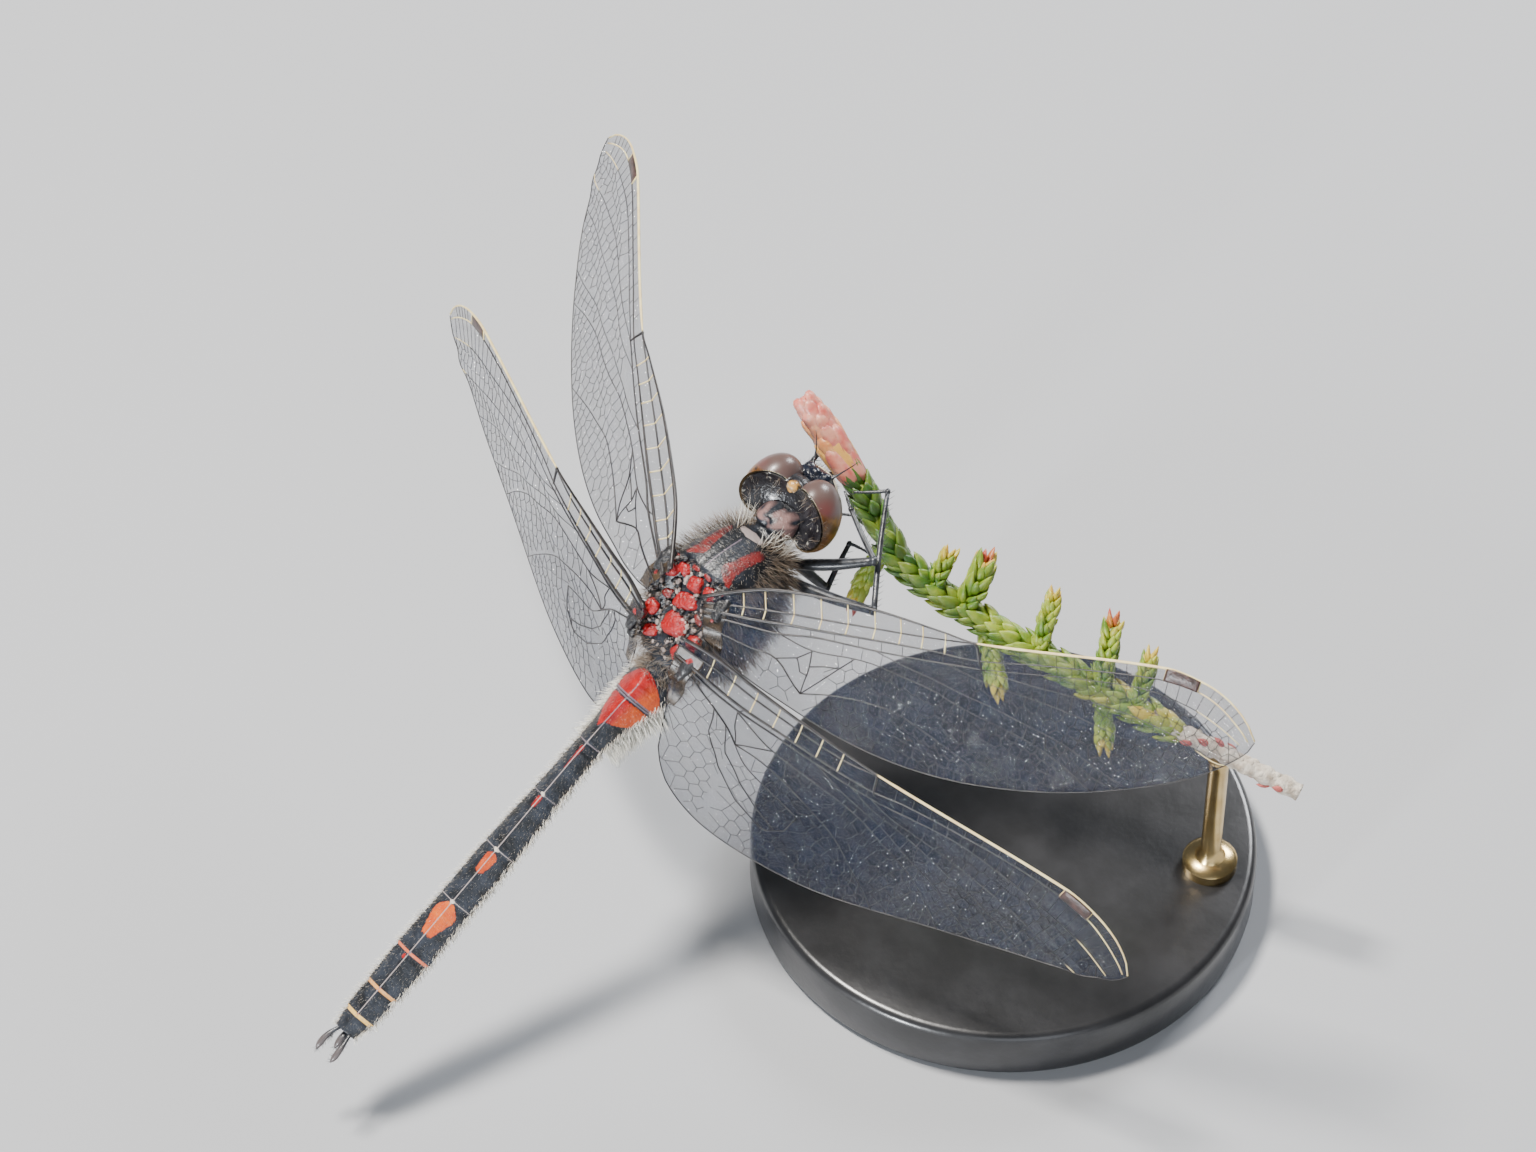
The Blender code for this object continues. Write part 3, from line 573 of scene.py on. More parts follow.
# Trunk skin: neck, thorax and abdomen in one, a coat's depth inside the solids
headCentre = Vector((0.0, -6.99, -3.18))
headTurn = Matrix.Rotation(math.radians(68.6), 3, "X") @ Matrix.Rotation(math.radians(7.0), 3, "Z")
tailStart = Vector((0.0, 5.02, -1.22))
tailTurn = Matrix.Rotation(math.radians(0.7), 3, "Z") @ Matrix.Rotation(math.radians(8.7), 3, "X")
thoraxRows = (  # y, top, bottom, half width, boxiness of the roof, rise of its sides
    (-4.95, -2.45, -3.95, 0.95, 0.9, 0.0), (-4.75, -1.95, -4.35, 1.3, 0.9, 0.0),
    (-4.5, -1.62, -4.65, 1.6, 0.88, 0.0), (-3.6, -0.85, -5.25, 2.05, 0.8, 0.0),
    (-2.6, -0.25, -5.7, 2.32, 0.76, 0.0), (-2.1, -0.2, -5.85, 2.4, 0.68, 0.05),
    (-1.7, -0.48, -5.92, 2.42, 0.5, 0.3), (-1.0, -0.72, -6.0, 2.42, 0.46, 0.42),
    (0.4, -1.08, -5.85, 2.38, 0.48, 0.32), (1.6, -1.32, -5.35, 2.2, 0.5, 0.25),
    (2.4, -1.42, -4.7, 1.8, 0.6, 0.08), (2.75, -1.5, -4.3, 1.45, 0.75, 0.0),
)
# distance along, full width, height
tailRows = ((-2.3, 2.1, 2.6), (-1.7, 2.4, 2.95), (-0.8, 2.5, 2.85), (0.0, 2.25, 2.5), (1.4, 1.66, 1.9),
            (2.87, 1.42, 1.5), (6.15, 1.52, 1.35), (9.55, 1.85, 1.35), (12.8, 1.87, 1.3), (16.05, 1.98, 1.25),
            (18.28, 1.82, 1.12), (19.9, 1.66, 1.0), (20.95, 1.15, 0.75))
paleRings = (  # start and end along the tail, tint, how far down the side
    (-0.16, -0.08, 0.3, 1.2), (-0.01, 0.05, 0.3, 1.2), (2.85, 2.91, 0.27, 1.1), (6.13, 6.19, 0.24, 1.1),
    (9.53, 9.59, 0.2, 1.1), (12.78, 12.84, 0.18, 1.1), (15.95, 16.1, 0.62, 1.0), (18.2, 18.38, 0.85, 1.1),
    (19.82, 20.02, 1.0, 1.1))
tailRoll = math.radians(-11)  # its ridge leans to the right side
joints = (-1.7, 0.0, 2.87, 6.15, 9.55, 12.8, 16.05, 18.28, 19.9)
around, neckRings, chestRings, tailRings = 96, 22, 92, 300
chestRun, tailRun = (-4.95, 7.7), (-2.3, 23.22)  # start and length of each run of rings


def inHead(point):
    return headCentre + headTurn @ Vector(point)


def inTail(point):
    return tailStart + tailTurn @ Vector(point)


def capsule(x, y, ax, ay, bx, by, ra, rb):  # how far inside a tapering bar, in mm
    along = min(max(((x - ax) * (bx - ax) + (y - ay) * (by - ay)) / ((bx - ax) ** 2 + (by - ay) ** 2), 0), 1)
    return ra + (rb - ra) * along - math.hypot(x - ax - (bx - ax) * along, y - ay - (by - ay) * along)


def tailPattern(s, x, up, wide):  # red patch and its warmth, pale line and its tint
    red, warm, pale, tan = -1.0, 0.5, -1.0, 0.0
    if up <= -0.35:
        return red, warm, pale, tan
    across = x * wide
    side = abs(x) if up > 0 else 2 - abs(x)
    red = min(s + 1.62 - 1.1 * x * x, -0.1 - s, (1.12 - side) * wide)
    low = 1.95 - 1.3 * abs(x - 0.3) if x > 0 else 1.55 - 0.5 * x * x
    red = max(red, min(s - 0.12, low - s, (1.0 + 0.06 * soft(0.9, 0.1, s) - side) * wide))
    warm = 0.5 + 0.32 * soft(0.1, 0.6, -x) * soft(-1.5, -0.9, s)
    if up > 0:
        red = max(red, capsule(across, s, 0.03, 3.2, 0.04, 4.5, 0.1, 0.03))
        red = max(red, capsule(across, s, 0.03, 6.35, 0.03, 6.8, 0.14, 0.11))
        spot = max(capsule(across, s, 0.0, 10.1, 0.0, 10.75, 0.33, 0.24), -1)
        kite = min(s - 12.92, (14.85 - s) * 0.55) if s < 15 else -1
        kite = min(kite, 0.62 * soft(12.6, 13.5, s) - abs(across) * 1.0 - 0.28 * max(s - 13.7, 0))
        stain = 0.09 - math.hypot(across - 0.14, (s - 16.3) * 0.8)
        red = max(red, spot, kite, stain)
        if s > 12:
            warm = 1.0 if s < 15 else 0.4
        elif s > 9:
            warm = 0.8
        pale = 0.022 - abs(across) if s > -0.9 and (s > 0.1 or s < -0.3) and s < 19.85 else -1
        tan = 0.28 if s < 2 else 0.2
    ring = -1.0
    for low, high, shade, far in paleRings:
        hit = min(s - low, high - s, (far - side) * wide)
        if hit > ring:
            ring, hue = hit, shade
    for at, reach in ((9.55, 0.11), (12.82, 0.14), (6.1, 0.07)):  # ragged pale blots at three joints
        hit = reach - math.hypot(across * 0.8, (s - at) * 1.3)
        hit += 0.2 * noise.noise(Vector((across * 4, s * 4, 2.0)))
        if hit > ring and up > 0:
            ring, hue = hit, 0.03
    if ring > pale:
        pale, tan = ring, hue if ring > -0.1 else tan
    return red, warm, pale, tan


def tailRing(s, rows):
    wide, tall = between(tailRows, s) / 2, between(tailRows, s, 2)
    last = max((joint for joint in joints if joint <= s), default=-2.6)
    upon = min((joint for joint in joints if joint > s), default=21.0)
    size = 1 - 0.05 * (1 - soft(0.0, 0.4, s - last)) + 0.035 * (1 - soft(0.0, 0.3, upon - s))
    size -= 0.05 * (1 - soft(0.0, 0.07, abs(s - last))) + 0.05 * (1 - soft(0.0, 0.05, abs(upon - s)))
    size = size if s > -1.7 else 0.97
    bend = 0.03 * sum(bell(s - at, 0.05) for at in (-0.75, 1.55, 6.9, 3.5))
    for k in range(around):
        a = 2 * math.pi * k / around - math.pi / 2
        x, up = power(math.cos(a), 0.95), math.sin(a)
        rise = tall * 0.42 * (1 - abs(x) ** 1.6) if up > 0 else tall * 0.58 * up
        ridge = 0.05 * bell(x * wide, 0.07) * (up > 0) * soft(-0.9, 0.3, s)
        z = -tall * 0.42 + rise * size + ridge + (bend if up > 0 else 0)
        lie = Vector((x * wide * size, 0, z + tall * 0.42))
        lie.rotate(Matrix.Rotation(tailRoll * soft(-2.1, -0.6, s), 3, "Y"))
        spot = inTail((lie.x, s, lie.z - tall * 0.42))
        rows.append((*spot, *tailPattern(s, x, up, wide)))


def chestPattern(x, y, up):  # two red bars, a pale keel line and a collar
    if up <= 0:
        return -1.0, 0.05, -1.0, 0.0
    red = max(capsule(abs(x), y, 1.12, -4.2, 1.02, -3.2, 0.26, 0.33),
              capsule(abs(x), y, 0.95, -3.05, 1.5, -2.35, 0.36, 0.05))
    warm = 0.28 * soft(-3.1, -2.5, y)
    pale, tan = min(0.03 - abs(x), -2.4 - y, y + 4.4), 0.3
    collar = min(0.16 - abs(y + 4.72) - 0.12 * abs(x), 0.75 - abs(x))
    return (red, warm, collar, 0.2) if collar > pale else (red, warm, pale, tan)


def thoraxRing(y, rows):
    top, bottom, half = (between(thoraxRows, y, n) for n in (1, 2, 3))
    box, rise = between(thoraxRows, y, 4), between(thoraxRows, y, 5)
    middle, tall = (top + bottom) / 2, (top - bottom) / 2
    for k in range(around):
        a = 2 * math.pi * k / around - math.pi / 2
        c, up = math.cos(a), math.sin(a)
        x = half * power(c, 0.86)
        if up > 0:
            n = 2 / box
            z = middle + tall * (1 - abs(x / half) ** n) ** (1 / n) + rise * soft(0.7, 1.7, abs(x))
            z += 0.07 * bell(x, 0.09) * (1 - soft(-2.6, -2.2, y)) * soft(-4.8, -4.4, y)
            z -= 0.08 * bell(abs(x) - 0.25, 0.14) * (1 - soft(-2.7, -2.2, y)) * soft(-4.7, -4.3, y)
            z -= 0.22 * bell(y + 1.95 + 0.12 * abs(x), 0.16) * (1 - soft(1.2, 1.9, abs(x)))
        else:
            z = middle + tall * power(up, 0.86)
        groove = bell(y + 1.2 + 0.55 * (z + 3), 0.12) + bell(y - 0.9 + 0.5 * (z + 3), 0.12)
        if up < 0.4:
            x -= math.copysign(0.07 * groove, x)
        rows.append((x, y, z, *chestPattern(x, y, up)))


def neckRing(u, rows):
    start, end = inHead((0, -0.1, -0.2)), Vector((0, -4.98, -3.2))
    centre = start.lerp(end, u)
    up = Vector((0, 0.5, 0.85)).lerp(Vector((0, 0, 1)), u).normalized()
    wide = between(((0, 0.5), (0.15, 0.9), (0.4, 1.1), (0.68, 1.12), (0.86, 0.88), (1, 0.92)), u)
    tall = between(((0, 0.5), (0.15, 0.85), (0.4, 1.0), (0.68, 0.9), (0.86, 0.66), (1, 0.72)), u)
    for k in range(around):
        a = 2 * math.pi * k / around - math.pi / 2
        x, rise = wide * math.cos(a), tall * math.sin(a)
        rise -= 0.16 * bell(x, 0.2) * (math.sin(a) > 0) * soft(0.3, 0.5, u) * (1 - soft(0.8, 0.9, u))
        spot = centre + Vector((x, 0, 0)) + up * rise
        crust = 0.04 * noise.noise(Vector((x * 2.6, u * 4.5, 7.0))) + 0.009 - 0.07 * abs(u - 0.32)
        rows.append((*spot, -1.0, 0.0, crust if math.sin(a) > 0 else -0.05, 0.5))


rows = []
steps = [(neckRing, i / neckRings) for i in range(neckRings)]
steps += [(thoraxRing, chestRun[0] + chestRun[1] * i / chestRings) for i in range(chestRings + 1)]
steps += [(tailRing, tailRun[0] + tailRun[1] * i / tailRings) for i in range(tailRings + 1)]
for ringOf, at in steps:
    ringOf(at, rows)
rows = np.array(rows)
skinBm = bmesh.new()
corners = [skinBm.verts.new(row[:3]) for row in rows]
for i in range(len(steps) - 1):
    for k in range(around):
        a, b = i * around + k, i * around + (k + 1) % around
        skinBm.faces.new((corners[a], corners[b], corners[b + around], corners[a + around]))
skinBm.faces.new(corners[:around])
skinBm.faces.new(corners[-around:])
skinFinish = newFinish("hornSkin", 0.4, Coat_Weight=0.12, Coat_Roughness=0.3)
# Black mottled at random with dark blue-grey.
blueBlackMottle = mixed(grain(1.4, 3.0), (0.004, 0.005, 0.007), (0.02, 0.025, 0.036))
brick = mixed(grain(2.6, 3.0, 0.38, 0.66), (0.18, 0.02, 0.02), (0.035, 0.009, 0.012))
bright = mixed(grain(2.5, 3.0), (0.23, 0.001, 0.0015), (0.36, 0.004, 0.003))
orange = mixed(grain(2.5, 2.0), (0.52, 0.06, 0.005), (0.6, 0.11, 0.01))
hot = mixed(reading("warm", 0.5, 1.0), bright, orange)
hot = mixed(reading("warm", 0.1, 0.45), brick, hot)
cream = mixed(reading("tan", 0.0, 0.35), (0.62, 0.54, 0.46), (0.12, 0.09, 0.13))
cream = mixed(reading("tan", 0.36, 0.55), cream, (0.25, 0.145, 0.125))
cream = mixed(reading("tan", 0.56, 0.62), cream, (0.6, 0.13, 0.05))
cream = mixed(reading("tan", 0.66, 1.0), cream, (0.72, 0.45, 0.12))
ragged = grain(7.0, 3.0, 0.3, 0.7, -0.035, 0.035)


def edgeMask(name, width=0.02, rough=0.0):
    return ranged(plus(marked(name), rough), -width, width)


color = mixed(edgeMask("red", 0.02, ragged), blueBlackMottle, hot)
color = mixed(edgeMask("pale", 0.012), color, cream)
skinHeight = plus(worked(pits(7.0), 0.7), grain(5.0, 4.0, 0.3, 0.7))
paint(color, skinHeight, 0.5, 0.035)
skin = addPiece("body_skin", skinBm, skinFinish,
                ("thorax", "prothorax", *(f"abdomen_{n}" for n in range(1, 11))))
for column, name in ((3, "red"), (4, "warm"), (5, "pale"), (6, "tan")):
    mark(skin.data, name, rows[:, column])
print("skin built")


# Red plates and knobs between the wings
plates = (  # x, y, z, half width, half length, height, turn in degrees, tint
    (0.0, -1.5, -0.5, 0.42, 0.4, 0.24, 8, 1.0), (0.05, -0.42, -0.86, 0.72, 0.42, 0.24, 24, 0.95),
    (0.0, 0.8, -1.16, 0.74, 0.62, 0.26, 10, 1.0), (0.98, -1.66, -0.42, 0.4, 0.28, 0.2, -20, 0.95),
    (1.5, -1.2, -0.38, 0.46, 0.3, 0.22, 30, 0.95), (1.78, -1.85, -0.42, 0.24, 0.22, 0.2, 0, 0.85),
    (1.15, -0.2, -0.82, 0.34, 0.25, 0.2, 20, 0.4), (1.5, 0.8, -0.98, 0.42, 0.36, 0.24, -15, 0.95),
    (1.82, 1.45, -0.98, 0.36, 0.4, 0.24, 10, 0.95), (1.0, 1.75, -1.25, 0.42, 0.3, 0.2, 30, 0.8),
    (0.42, -2.15, -0.32, 0.26, 0.13, 0.12, 12, 0.6), (1.95, -0.75, -0.45, 0.24, 0.3, 0.2, 0, 0.7))
plateBm = bmesh.new()
plateTint = plateBm.verts.layers.float.new("tint")
draw = np.random.default_rng(7)


def addKnob(bm, layer, centre, radii, turn, tint, rough, rows=10, sides=20):
    made = bmesh.ops.create_uvsphere(bm, u_segments=sides, v_segments=rows, radius=1.0)["verts"]
    seed = draw.uniform(0, 50, 3)
    spin = Matrix.Rotation(math.radians(turn), 3, "Z")
    for vert in made:
        d = vert.co.copy()
        d.x, d.y = power(d.x, 0.72), power(d.y, 0.72)
        swell = 1 + rough * (noise.noise(d * 1.6 + Vector(seed)) + 0.3 * noise.noise(d * 5 + Vector(seed)))
        vert.co = Vector(centre) + spin @ Vector((d.x * radii[0], d.y * radii[1], d.z * radii[2])) * swell
        vert[layer] = tint


for x, y, z, wide, long, tall, turn, tint in plates:
    for side in (-1, 1) if abs(x) > 0.2 else (1,):
        jig = draw.uniform(-0.05, 0.05, 2)
        spot = (side * x + jig[0], y + jig[1], z)
        addKnob(plateBm, plateTint, spot, (wide, long, tall), side * turn, tint, 0.2)
for n in range(330):  # small dark sclerites in the gaps, the pale ones painted highlights between the plates
    x, y = draw.uniform(-2.0, 2.0), draw.uniform(-2.15, 2.4)
    if min(math.hypot((abs(x) - abs(p[0])) / p[3], (y - p[1]) / p[4]) for p in plates) < 0.98:
        continue
    z = -0.5 - 0.25 * (y + 1.5) + 0.3 * soft(0.7, 1.7, abs(x))
    size = draw.uniform(0.06, 0.17)
    addKnob(plateBm, plateTint, (x, y, z), (size, size * draw.uniform(0.5, 1.0), size * 0.8),
            draw.uniform(0, 180), draw.choice((0.0, 0.05, 0.12, 0.2, 0.3)), 0.3, 6, 9)
for side in (-1, 1):  # stout black hinges under the wing roots
    for (x, y, z), radii in (((2.0, -1.45, -0.3), (0.4, 0.7, 0.32)), ((1.95, -0.5, -0.6), (0.35, 0.55, 0.3)),
                             ((1.95, 1.7, -1.05), (0.32, 0.75, 0.26)),
                             ((1.75, 2.4, -1.35), (0.28, 0.36, 0.22))):
        addKnob(plateBm, plateTint, (side * x, y, z), radii, 0, 0.0, 0.25)
plateFinish = newFinish("redPlate", 0.4, Coat_Weight=0.3, Coat_Roughness=0.25)
scarlet = mixed(grain(3.0, 3.0), (0.24, 0.001, 0.003), (0.36, 0.005, 0.007))
# Tint 0 is black, 0.3 a pale grey that paints highlights between the plates, 0.4 dark red, 0.9 scarlet.
gapDarkAndGlint = mixed(reading("tint", 0.05, 0.3), (0.01, 0.01, 0.012), (0.36, 0.29, 0.26))
gapDarkAndGlint = mixed(reading("tint", 0.3, 0.4), gapDarkAndGlint, (0.14, 0.008, 0.008))
paint(mixed(reading("tint", 0.4, 0.9), gapDarkAndGlint, scarlet), plus(grain(6.0, 4.0, 0.3, 0.7), pits(5.0)), 0.8, 0.05)
addPiece("thorax_plates", plateBm, plateFinish)
print("plates built")


# Head: one skin over skull, face and crown, hollowed behind; the eyes are their own pieces
dish = {"centre": Vector((-0.3, 1.6, -0.28)), "radii": Vector((2.6, 1.54, 1.9))}
eyeShape = {"centre": (1.4, -0.1, 0.1), "radii": (1.2, 1.45, 1.8), "lean": 16.0}


def dishGap(point, grow=0.0):  # under 1 inside the hollow
    d = point - dish["centre"]
    return Vector(d[i] / (dish["radii"][i] + grow) for i in range(3))


def hollowed(point, grow=0.0):
    gap = dishGap(point, grow)
    if gap.length >= 1:
        return point
    gap.normalize()
    return dish["centre"] + Vector(gap[i] * (dish["radii"][i] + grow) for i in range(3))


def eyeBall(side, size=1.0):
    x, y, z = eyeShape["centre"]
    return (side * x, y, z), [r * size for r in eyeShape["radii"]], -side * eyeShape["lean"]


def addBall(bm, ball, sides, rings):
    centre, radii, lean = ball
    made = bmesh.ops.create_uvsphere(bm, u_segments=sides, v_segments=rings, radius=1.0)["verts"]
    turn = Matrix.Rotation(math.radians(lean), 4, "Y")
    bmesh.ops.transform(bm, matrix=Matrix.Translation(centre) @ turn @ Matrix.Diagonal((*radii, 1.0)),
                        verts=made)


headBm = bmesh.new()
lumps = [((0, 0, -0.15), (1.98, 1.03, 1.6), 0), eyeBall(1, 0.96), eyeBall(-1, 0.96),
         ((0, -1.2, 1.22), (0.92, 0.5, 0.42), 0), ((0.5, -1.3, 1.5), (0.3, 0.26, 0.2), 0),
         ((-0.5, -1.3, 1.5), (0.3, 0.26, 0.2), 0), ((0, -1.05, 1.56), (0.3, 0.26, 0.2), 0),
         ((0, -1.62, 0.62), (1.26, 0.72, 0.92), 0), ((0, -1.62, -0.25), (1.2, 0.7, 0.5), 0),
         ((0, -1.28, -1.05), (0.95, 0.7, 0.42), 0), ((0.62, -0.85, -1.3), (0.55, 0.72, 0.6), 12),
         ((-0.62, -0.85, -1.3), (0.55, 0.72, 0.6), -12), ((0, -0.75, -1.5), (0.85, 0.7, 0.42), 0),
         ((-0.06, 0.6, 1.12), (0.34, 0.3, 0.3), 0)]
for lump in lumps:
    addBall(headBm, lump, 48, 32)
lumpMesh = bpy.data.meshes.new("headLumps")
headBm.to_mesh(lumpMesh)
headBm.free()
lumpObject = bpy.data.objects.new("headLumps", lumpMesh)
bpy.context.scene.collection.objects.link(lumpObject)
joinUp = lumpObject.modifiers.new("join", "REMESH")
joinUp.mode, joinUp.voxel_size = "VOXEL", 0.055
graph = bpy.context.evaluated_depsgraph_get()
joinedMesh = bpy.data.meshes.new_from_object(lumpObject.evaluated_get(graph))
bpy.data.objects.remove(lumpObject, do_unlink=True)
headBm = bmesh.new()
headBm.from_mesh(joinedMesh)
for _ in range(4):
    bmesh.ops.smooth_vert(headBm, verts=headBm.verts, factor=0.5, use_axis_x=True, use_axis_y=True,
                          use_axis_z=True)
headMarks = {name: [] for name in ("cream", "hollow", "ochre", "crown")}
for vert in headBm.verts:
    p = vert.co.copy()
    gap = dishGap(p).length
    knob = 0.34 - (p - Vector((-0.06, 0.76, 1.14))).length
    if knob < 0:
        vert.co = hollowed(p)
    inside = 1 - gap
    headMarks["hollow"].append(inside * 1.4)
    headMarks["ochre"].append(knob)
    crease = min(abs(p.z - 0.1 + 0.12 * abs(p.x)), abs(p.z + 0.7), abs(p.z + 1.2)) - 0.035
    face = min(-0.75 - p.y, 1.75 - 0.15 * abs(p.x) - p.z, 1.35 - abs(p.x))
    crown = min(-0.55 - p.y, p.z - 0.5, p.y + 1.62)
    headMarks["cream"].append(min(face, crease, -crown))
    headMarks["crown"].append(crown)
    vert.co = inHead(vert.co)
headFinish = newFinish("skullHorn", 0.32, Coat_Weight=0.22, Coat_Roughness=0.16)
black = mixed(grain(3.0, 3.0), (0.004, 0.004, 0.006), (0.02, 0.02, 0.024))
# In the hollow behind the head, grey blotches and a pale band just inside the rim are painted highlights on
# glossy black.
paintedGlossSpots = mixed(grain(2.2, 3.0, 0.64, 0.69), black, (0.3, 0.29, 0.25))
tone = mixed(reading("hollow", 0.0, 0.1), black, paintedGlossSpots)
paintedSheenBand = worked(reading("hollow", 0.05, 0.1), reading("hollow", 0.3, 0.18))
tone = mixed(worked(paintedSheenBand, grain(1.3, 3.0, 0.5, 0.58)), tone, (0.4, 0.4, 0.37))
rimMask = ranged(worked(plus(marked("hollow"), -0.01), 0, "ABSOLUTE"), 0.02, 0.01)
tone = mixed(rimMask, tone, (0.1, 0.09, 0.05))
tone = mixed(edgeMask("ochre", 0.12, grain(4.0, 2.0, 0.3, 0.7, -0.2, 0.1)), tone, (0.5, 0.26, 0.06))
milk = mixed(grain(3.0, 3.0), (0.8, 0.74, 0.55), (0.6, 0.52, 0.36))
tone = mixed(edgeMask("cream", 0.03), tone, milk)
tone = mixed(edgeMask("crown", 0.04), tone, (0.006, 0.009, 0.02))
paint(tone, plus(grain(5.0, 3.0, 0.3, 0.7), pits(6.0)), 0.5, 0.03)
headSkin = addPiece("head_skin", headBm, headFinish, ("head", "vertex", "frons", "mouthparts"))
for name, values in headMarks.items():
    mark(headSkin.data, name, values)

eyeFinish = newFinish("eyeLens", 0.34, Coat_Weight=0.14, Coat_Roughness=0.16)
upper = mixed(reading("patch", 0.0, 0.9), (0.09, 0.055, 0.05), (0.17, 0.055, 0.05))
upper = mixed(grain(1.2, 2.0, 0.3, 0.8), upper, (0.11, 0.075, 0.066))
lower = mixed(grain(2.4, 2.0, 0.35, 0.6), (0.26, 0.11, 0.012), (0.12, 0.045, 0.006))
lower = mixed(ranged(pits(1.6, 0.0, 1.0), 0.25, 0.12), lower, (0.03, 0.02, 0.015))
tone = mixed(reading("height", -0.16, 0.14), lower, upper)
tone = mixed(reading("margin", 0.02, 0.008), tone, (0.5, 0.46, 0.3))
tone = mixed(reading("margin", -0.012, -0.024), tone, (0.05, 0.032, 0.014))
paint(tone, pits(24.0), 0.35, 0.006)
for side, name in ((1, "left"), (-1, "right")):
    eyeBm = bmesh.new()
    addBall(eyeBm, eyeBall(side), 96, 72)
    eyeMarks = {"height": [], "patch": [], "margin": []}
    for vert in eyeBm.verts:
        p = vert.co.copy()
        p.x = side * max(side * p.x, 0.03)
        eyeMarks["height"].append(p.z - 0.78 - 0.2 * p.y + 0.08 * math.sin(3 * p.y))
        eyeMarks["patch"].append(1.1 - (p - Vector((side * 2.1, 0.35, 0.75))).length)
        eyeMarks["margin"].append((dishGap(p, 0.07).length - 1) * 1.4)
        vert.co = inHead(hollowed(p, 0.09))
    eye = addPiece(f"eye_shell_{name}", eyeBm, eyeFinish, (f"eye_{name}",))
    for key, values in eyeMarks.items():
        mark(eye.data, key, values)
print("head built")


# Legs, feelers and tail appendages
legPaths = {  # hip, knee, ankle, claw
    "fore_right": ((-0.75, -4.75, -4.4), (-2.3, -4.3, -6.9), (-1.6, -6.6, -7.3), (-2.3, -6.75, -7.7)),
    "mid_right": ((-0.9, -4.3, -4.75), (-4.44, -7.15, -5.21), (-1.42, -8.19, -5.69), (-0.58, -8.56, -5.87)),
    "hind_right": ((-1.0, -3.6, -5.1), (-5.89, -5.28, -5.41), (-2.12, -9.91, -6.33), (-1.08, -8.95, -5.78)),
    "fore_left": ((0.75, -4.75, -4.4), (1.3, -4.9, -7.0), (0.3, -7.0, -7.3), (-0.5, -7.6, -7.75)),
    "mid_left": ((0.9, -4.3, -4.75), (2.6, -6.2, -7.3), (1.3, -8.9, -7.3), (0.3, -8.9, -7.75)),
    "hind_left": ((1.0, -3.6, -5.1), (3.3, -5.2, -8.2), (2.5, -9.5, -7.0), (1.9, -10.1, -6.5)),
}
legParts = (("femur", (0.2, 0.28, 0.3, 0.28, 0.24, 0.2), 0.38),
            ("tibia", (0.15, 0.145, 0.14, 0.13, 0.12, 0.115), 0.44),
            ("tarsus", (0.09, 0.085, 0.09, 0.075, 0.07, 0.055), 0.14))


def blend(a, b, t):
    return np.asarray(a, float) + (np.asarray(b, float) - np.asarray(a, float)) * t


legFinish = newFinish("legHorn", 0.34, Coat_Weight=0.3, Coat_Roughness=0.2)
paint(mixed(reading("tint", 0.2, 0.8), mixed(grain(3.0, 2.0), (0.012, 0.013, 0.016), (0.05, 0.055, 0.065)),
            (0.09, 0.075, 0.075)), grain(12.0, 2.0, 0.3, 0.7), 0.4, 0.02)
draw = np.random.default_rng(11)
up = (0.11, 0.31, 0.95)
for name, path in legPaths.items():
    store = newStore()
    hip = np.array(path[0])
    storeTube(store, [hip + np.array((0, 0.1, 0.55)), hip + (0, 0, 0.2), hip, blend(hip, path[1], 0.1)],
              (0.42, 0.36, 0.24, 0.14), up, 10)
    for (part, radii, bristle), start, end in zip(legParts, path, path[1:]):
        start, end = np.array(start), np.array(end)
        span = np.linalg.norm(end - start)
        run = (end - start) / span
        side = unit(np.cross(run, up))
        lift = np.cross(side, run)
        sag = side * 0.05 * span * (0.5 if part == "femur" else -0.3)
        points = [blend(start, end, t) + sag * math.sin(math.pi * t) for t in np.linspace(0, 1, 12)]
        wide = np.interp(np.linspace(0, 1, 12), np.linspace(0, 1, 6), radii)
        if part == "tarsus":
            wide = wide * (1 - 0.22 * (np.arange(12) % 4 == 0))
        storeTube(store, points, wide, up, 10)
        step, wobble = (0.16, 0.0) if part == "tarsus" else (0.3, 0.2)
        for n in range(int(span / step)):  # two rows of spines
            for row in (-1, 1):
                t = min((n + 0.5 + (wobble and wobble * draw.uniform(-1, 1))) * step / span, 0.97)
                base = blend(start, end, t) + sag * math.sin(math.pi * t)
                aim = unit(side * row * 0.75 + lift * -0.55 + run * 0.6)
                storeTube(store, [base, base + aim * bristle * 0.6, base + aim * bristle + run * 0.04],
                          (0.022, 0.016, 0.004), up, 4)
        knob = points[-1]
        storeTube(store, [knob - run * 0.16, knob - run * 0.06, knob + run * 0.05, knob + run * 0.12],
                  (wide[-1], wide[-1] * 1.25, wide[-1] * 1.1, wide[-1] * 0.5), up, 10)
    claw = np.array(path[3])
    for row in (-1, 1):
        bend, tip = run * 0.14 + side * row * 0.07, run * 0.22 + side * row * 0.1 - lift * 0.1
        storeTube(store, [claw, claw + bend, claw + tip], (0.04, 0.03, 0.006), up, 5)
    storePiece(store, f"leg_{name}", legFinish,
               tuple(f"leg_{name}_{part}" for part in ("femur", "tibia", "tarsus")))
for side, name in ((1, "left"), (-1, "right")):
    store = newStore()
    path = [inHead(p) for p in ((side * 0.45, -1.4, 1.1), (side * 0.6, -1.62, 1.4),
                                (side * 0.72, -1.78, 1.62), (side * 0.95, -1.95, 2.05),
                                (side * 1.2, -2.0, 2.5), (side * 1.38, -1.95, 2.85))]
    storeTube(store, path, (0.11, 0.1, 0.06, 0.035, 0.025, 0.012), up, 8)
    storePiece(store, f"feeler_{name}", legFinish, (f"antenna_{name}",))
tailEnd = Vector((0, 20.86, -0.36))
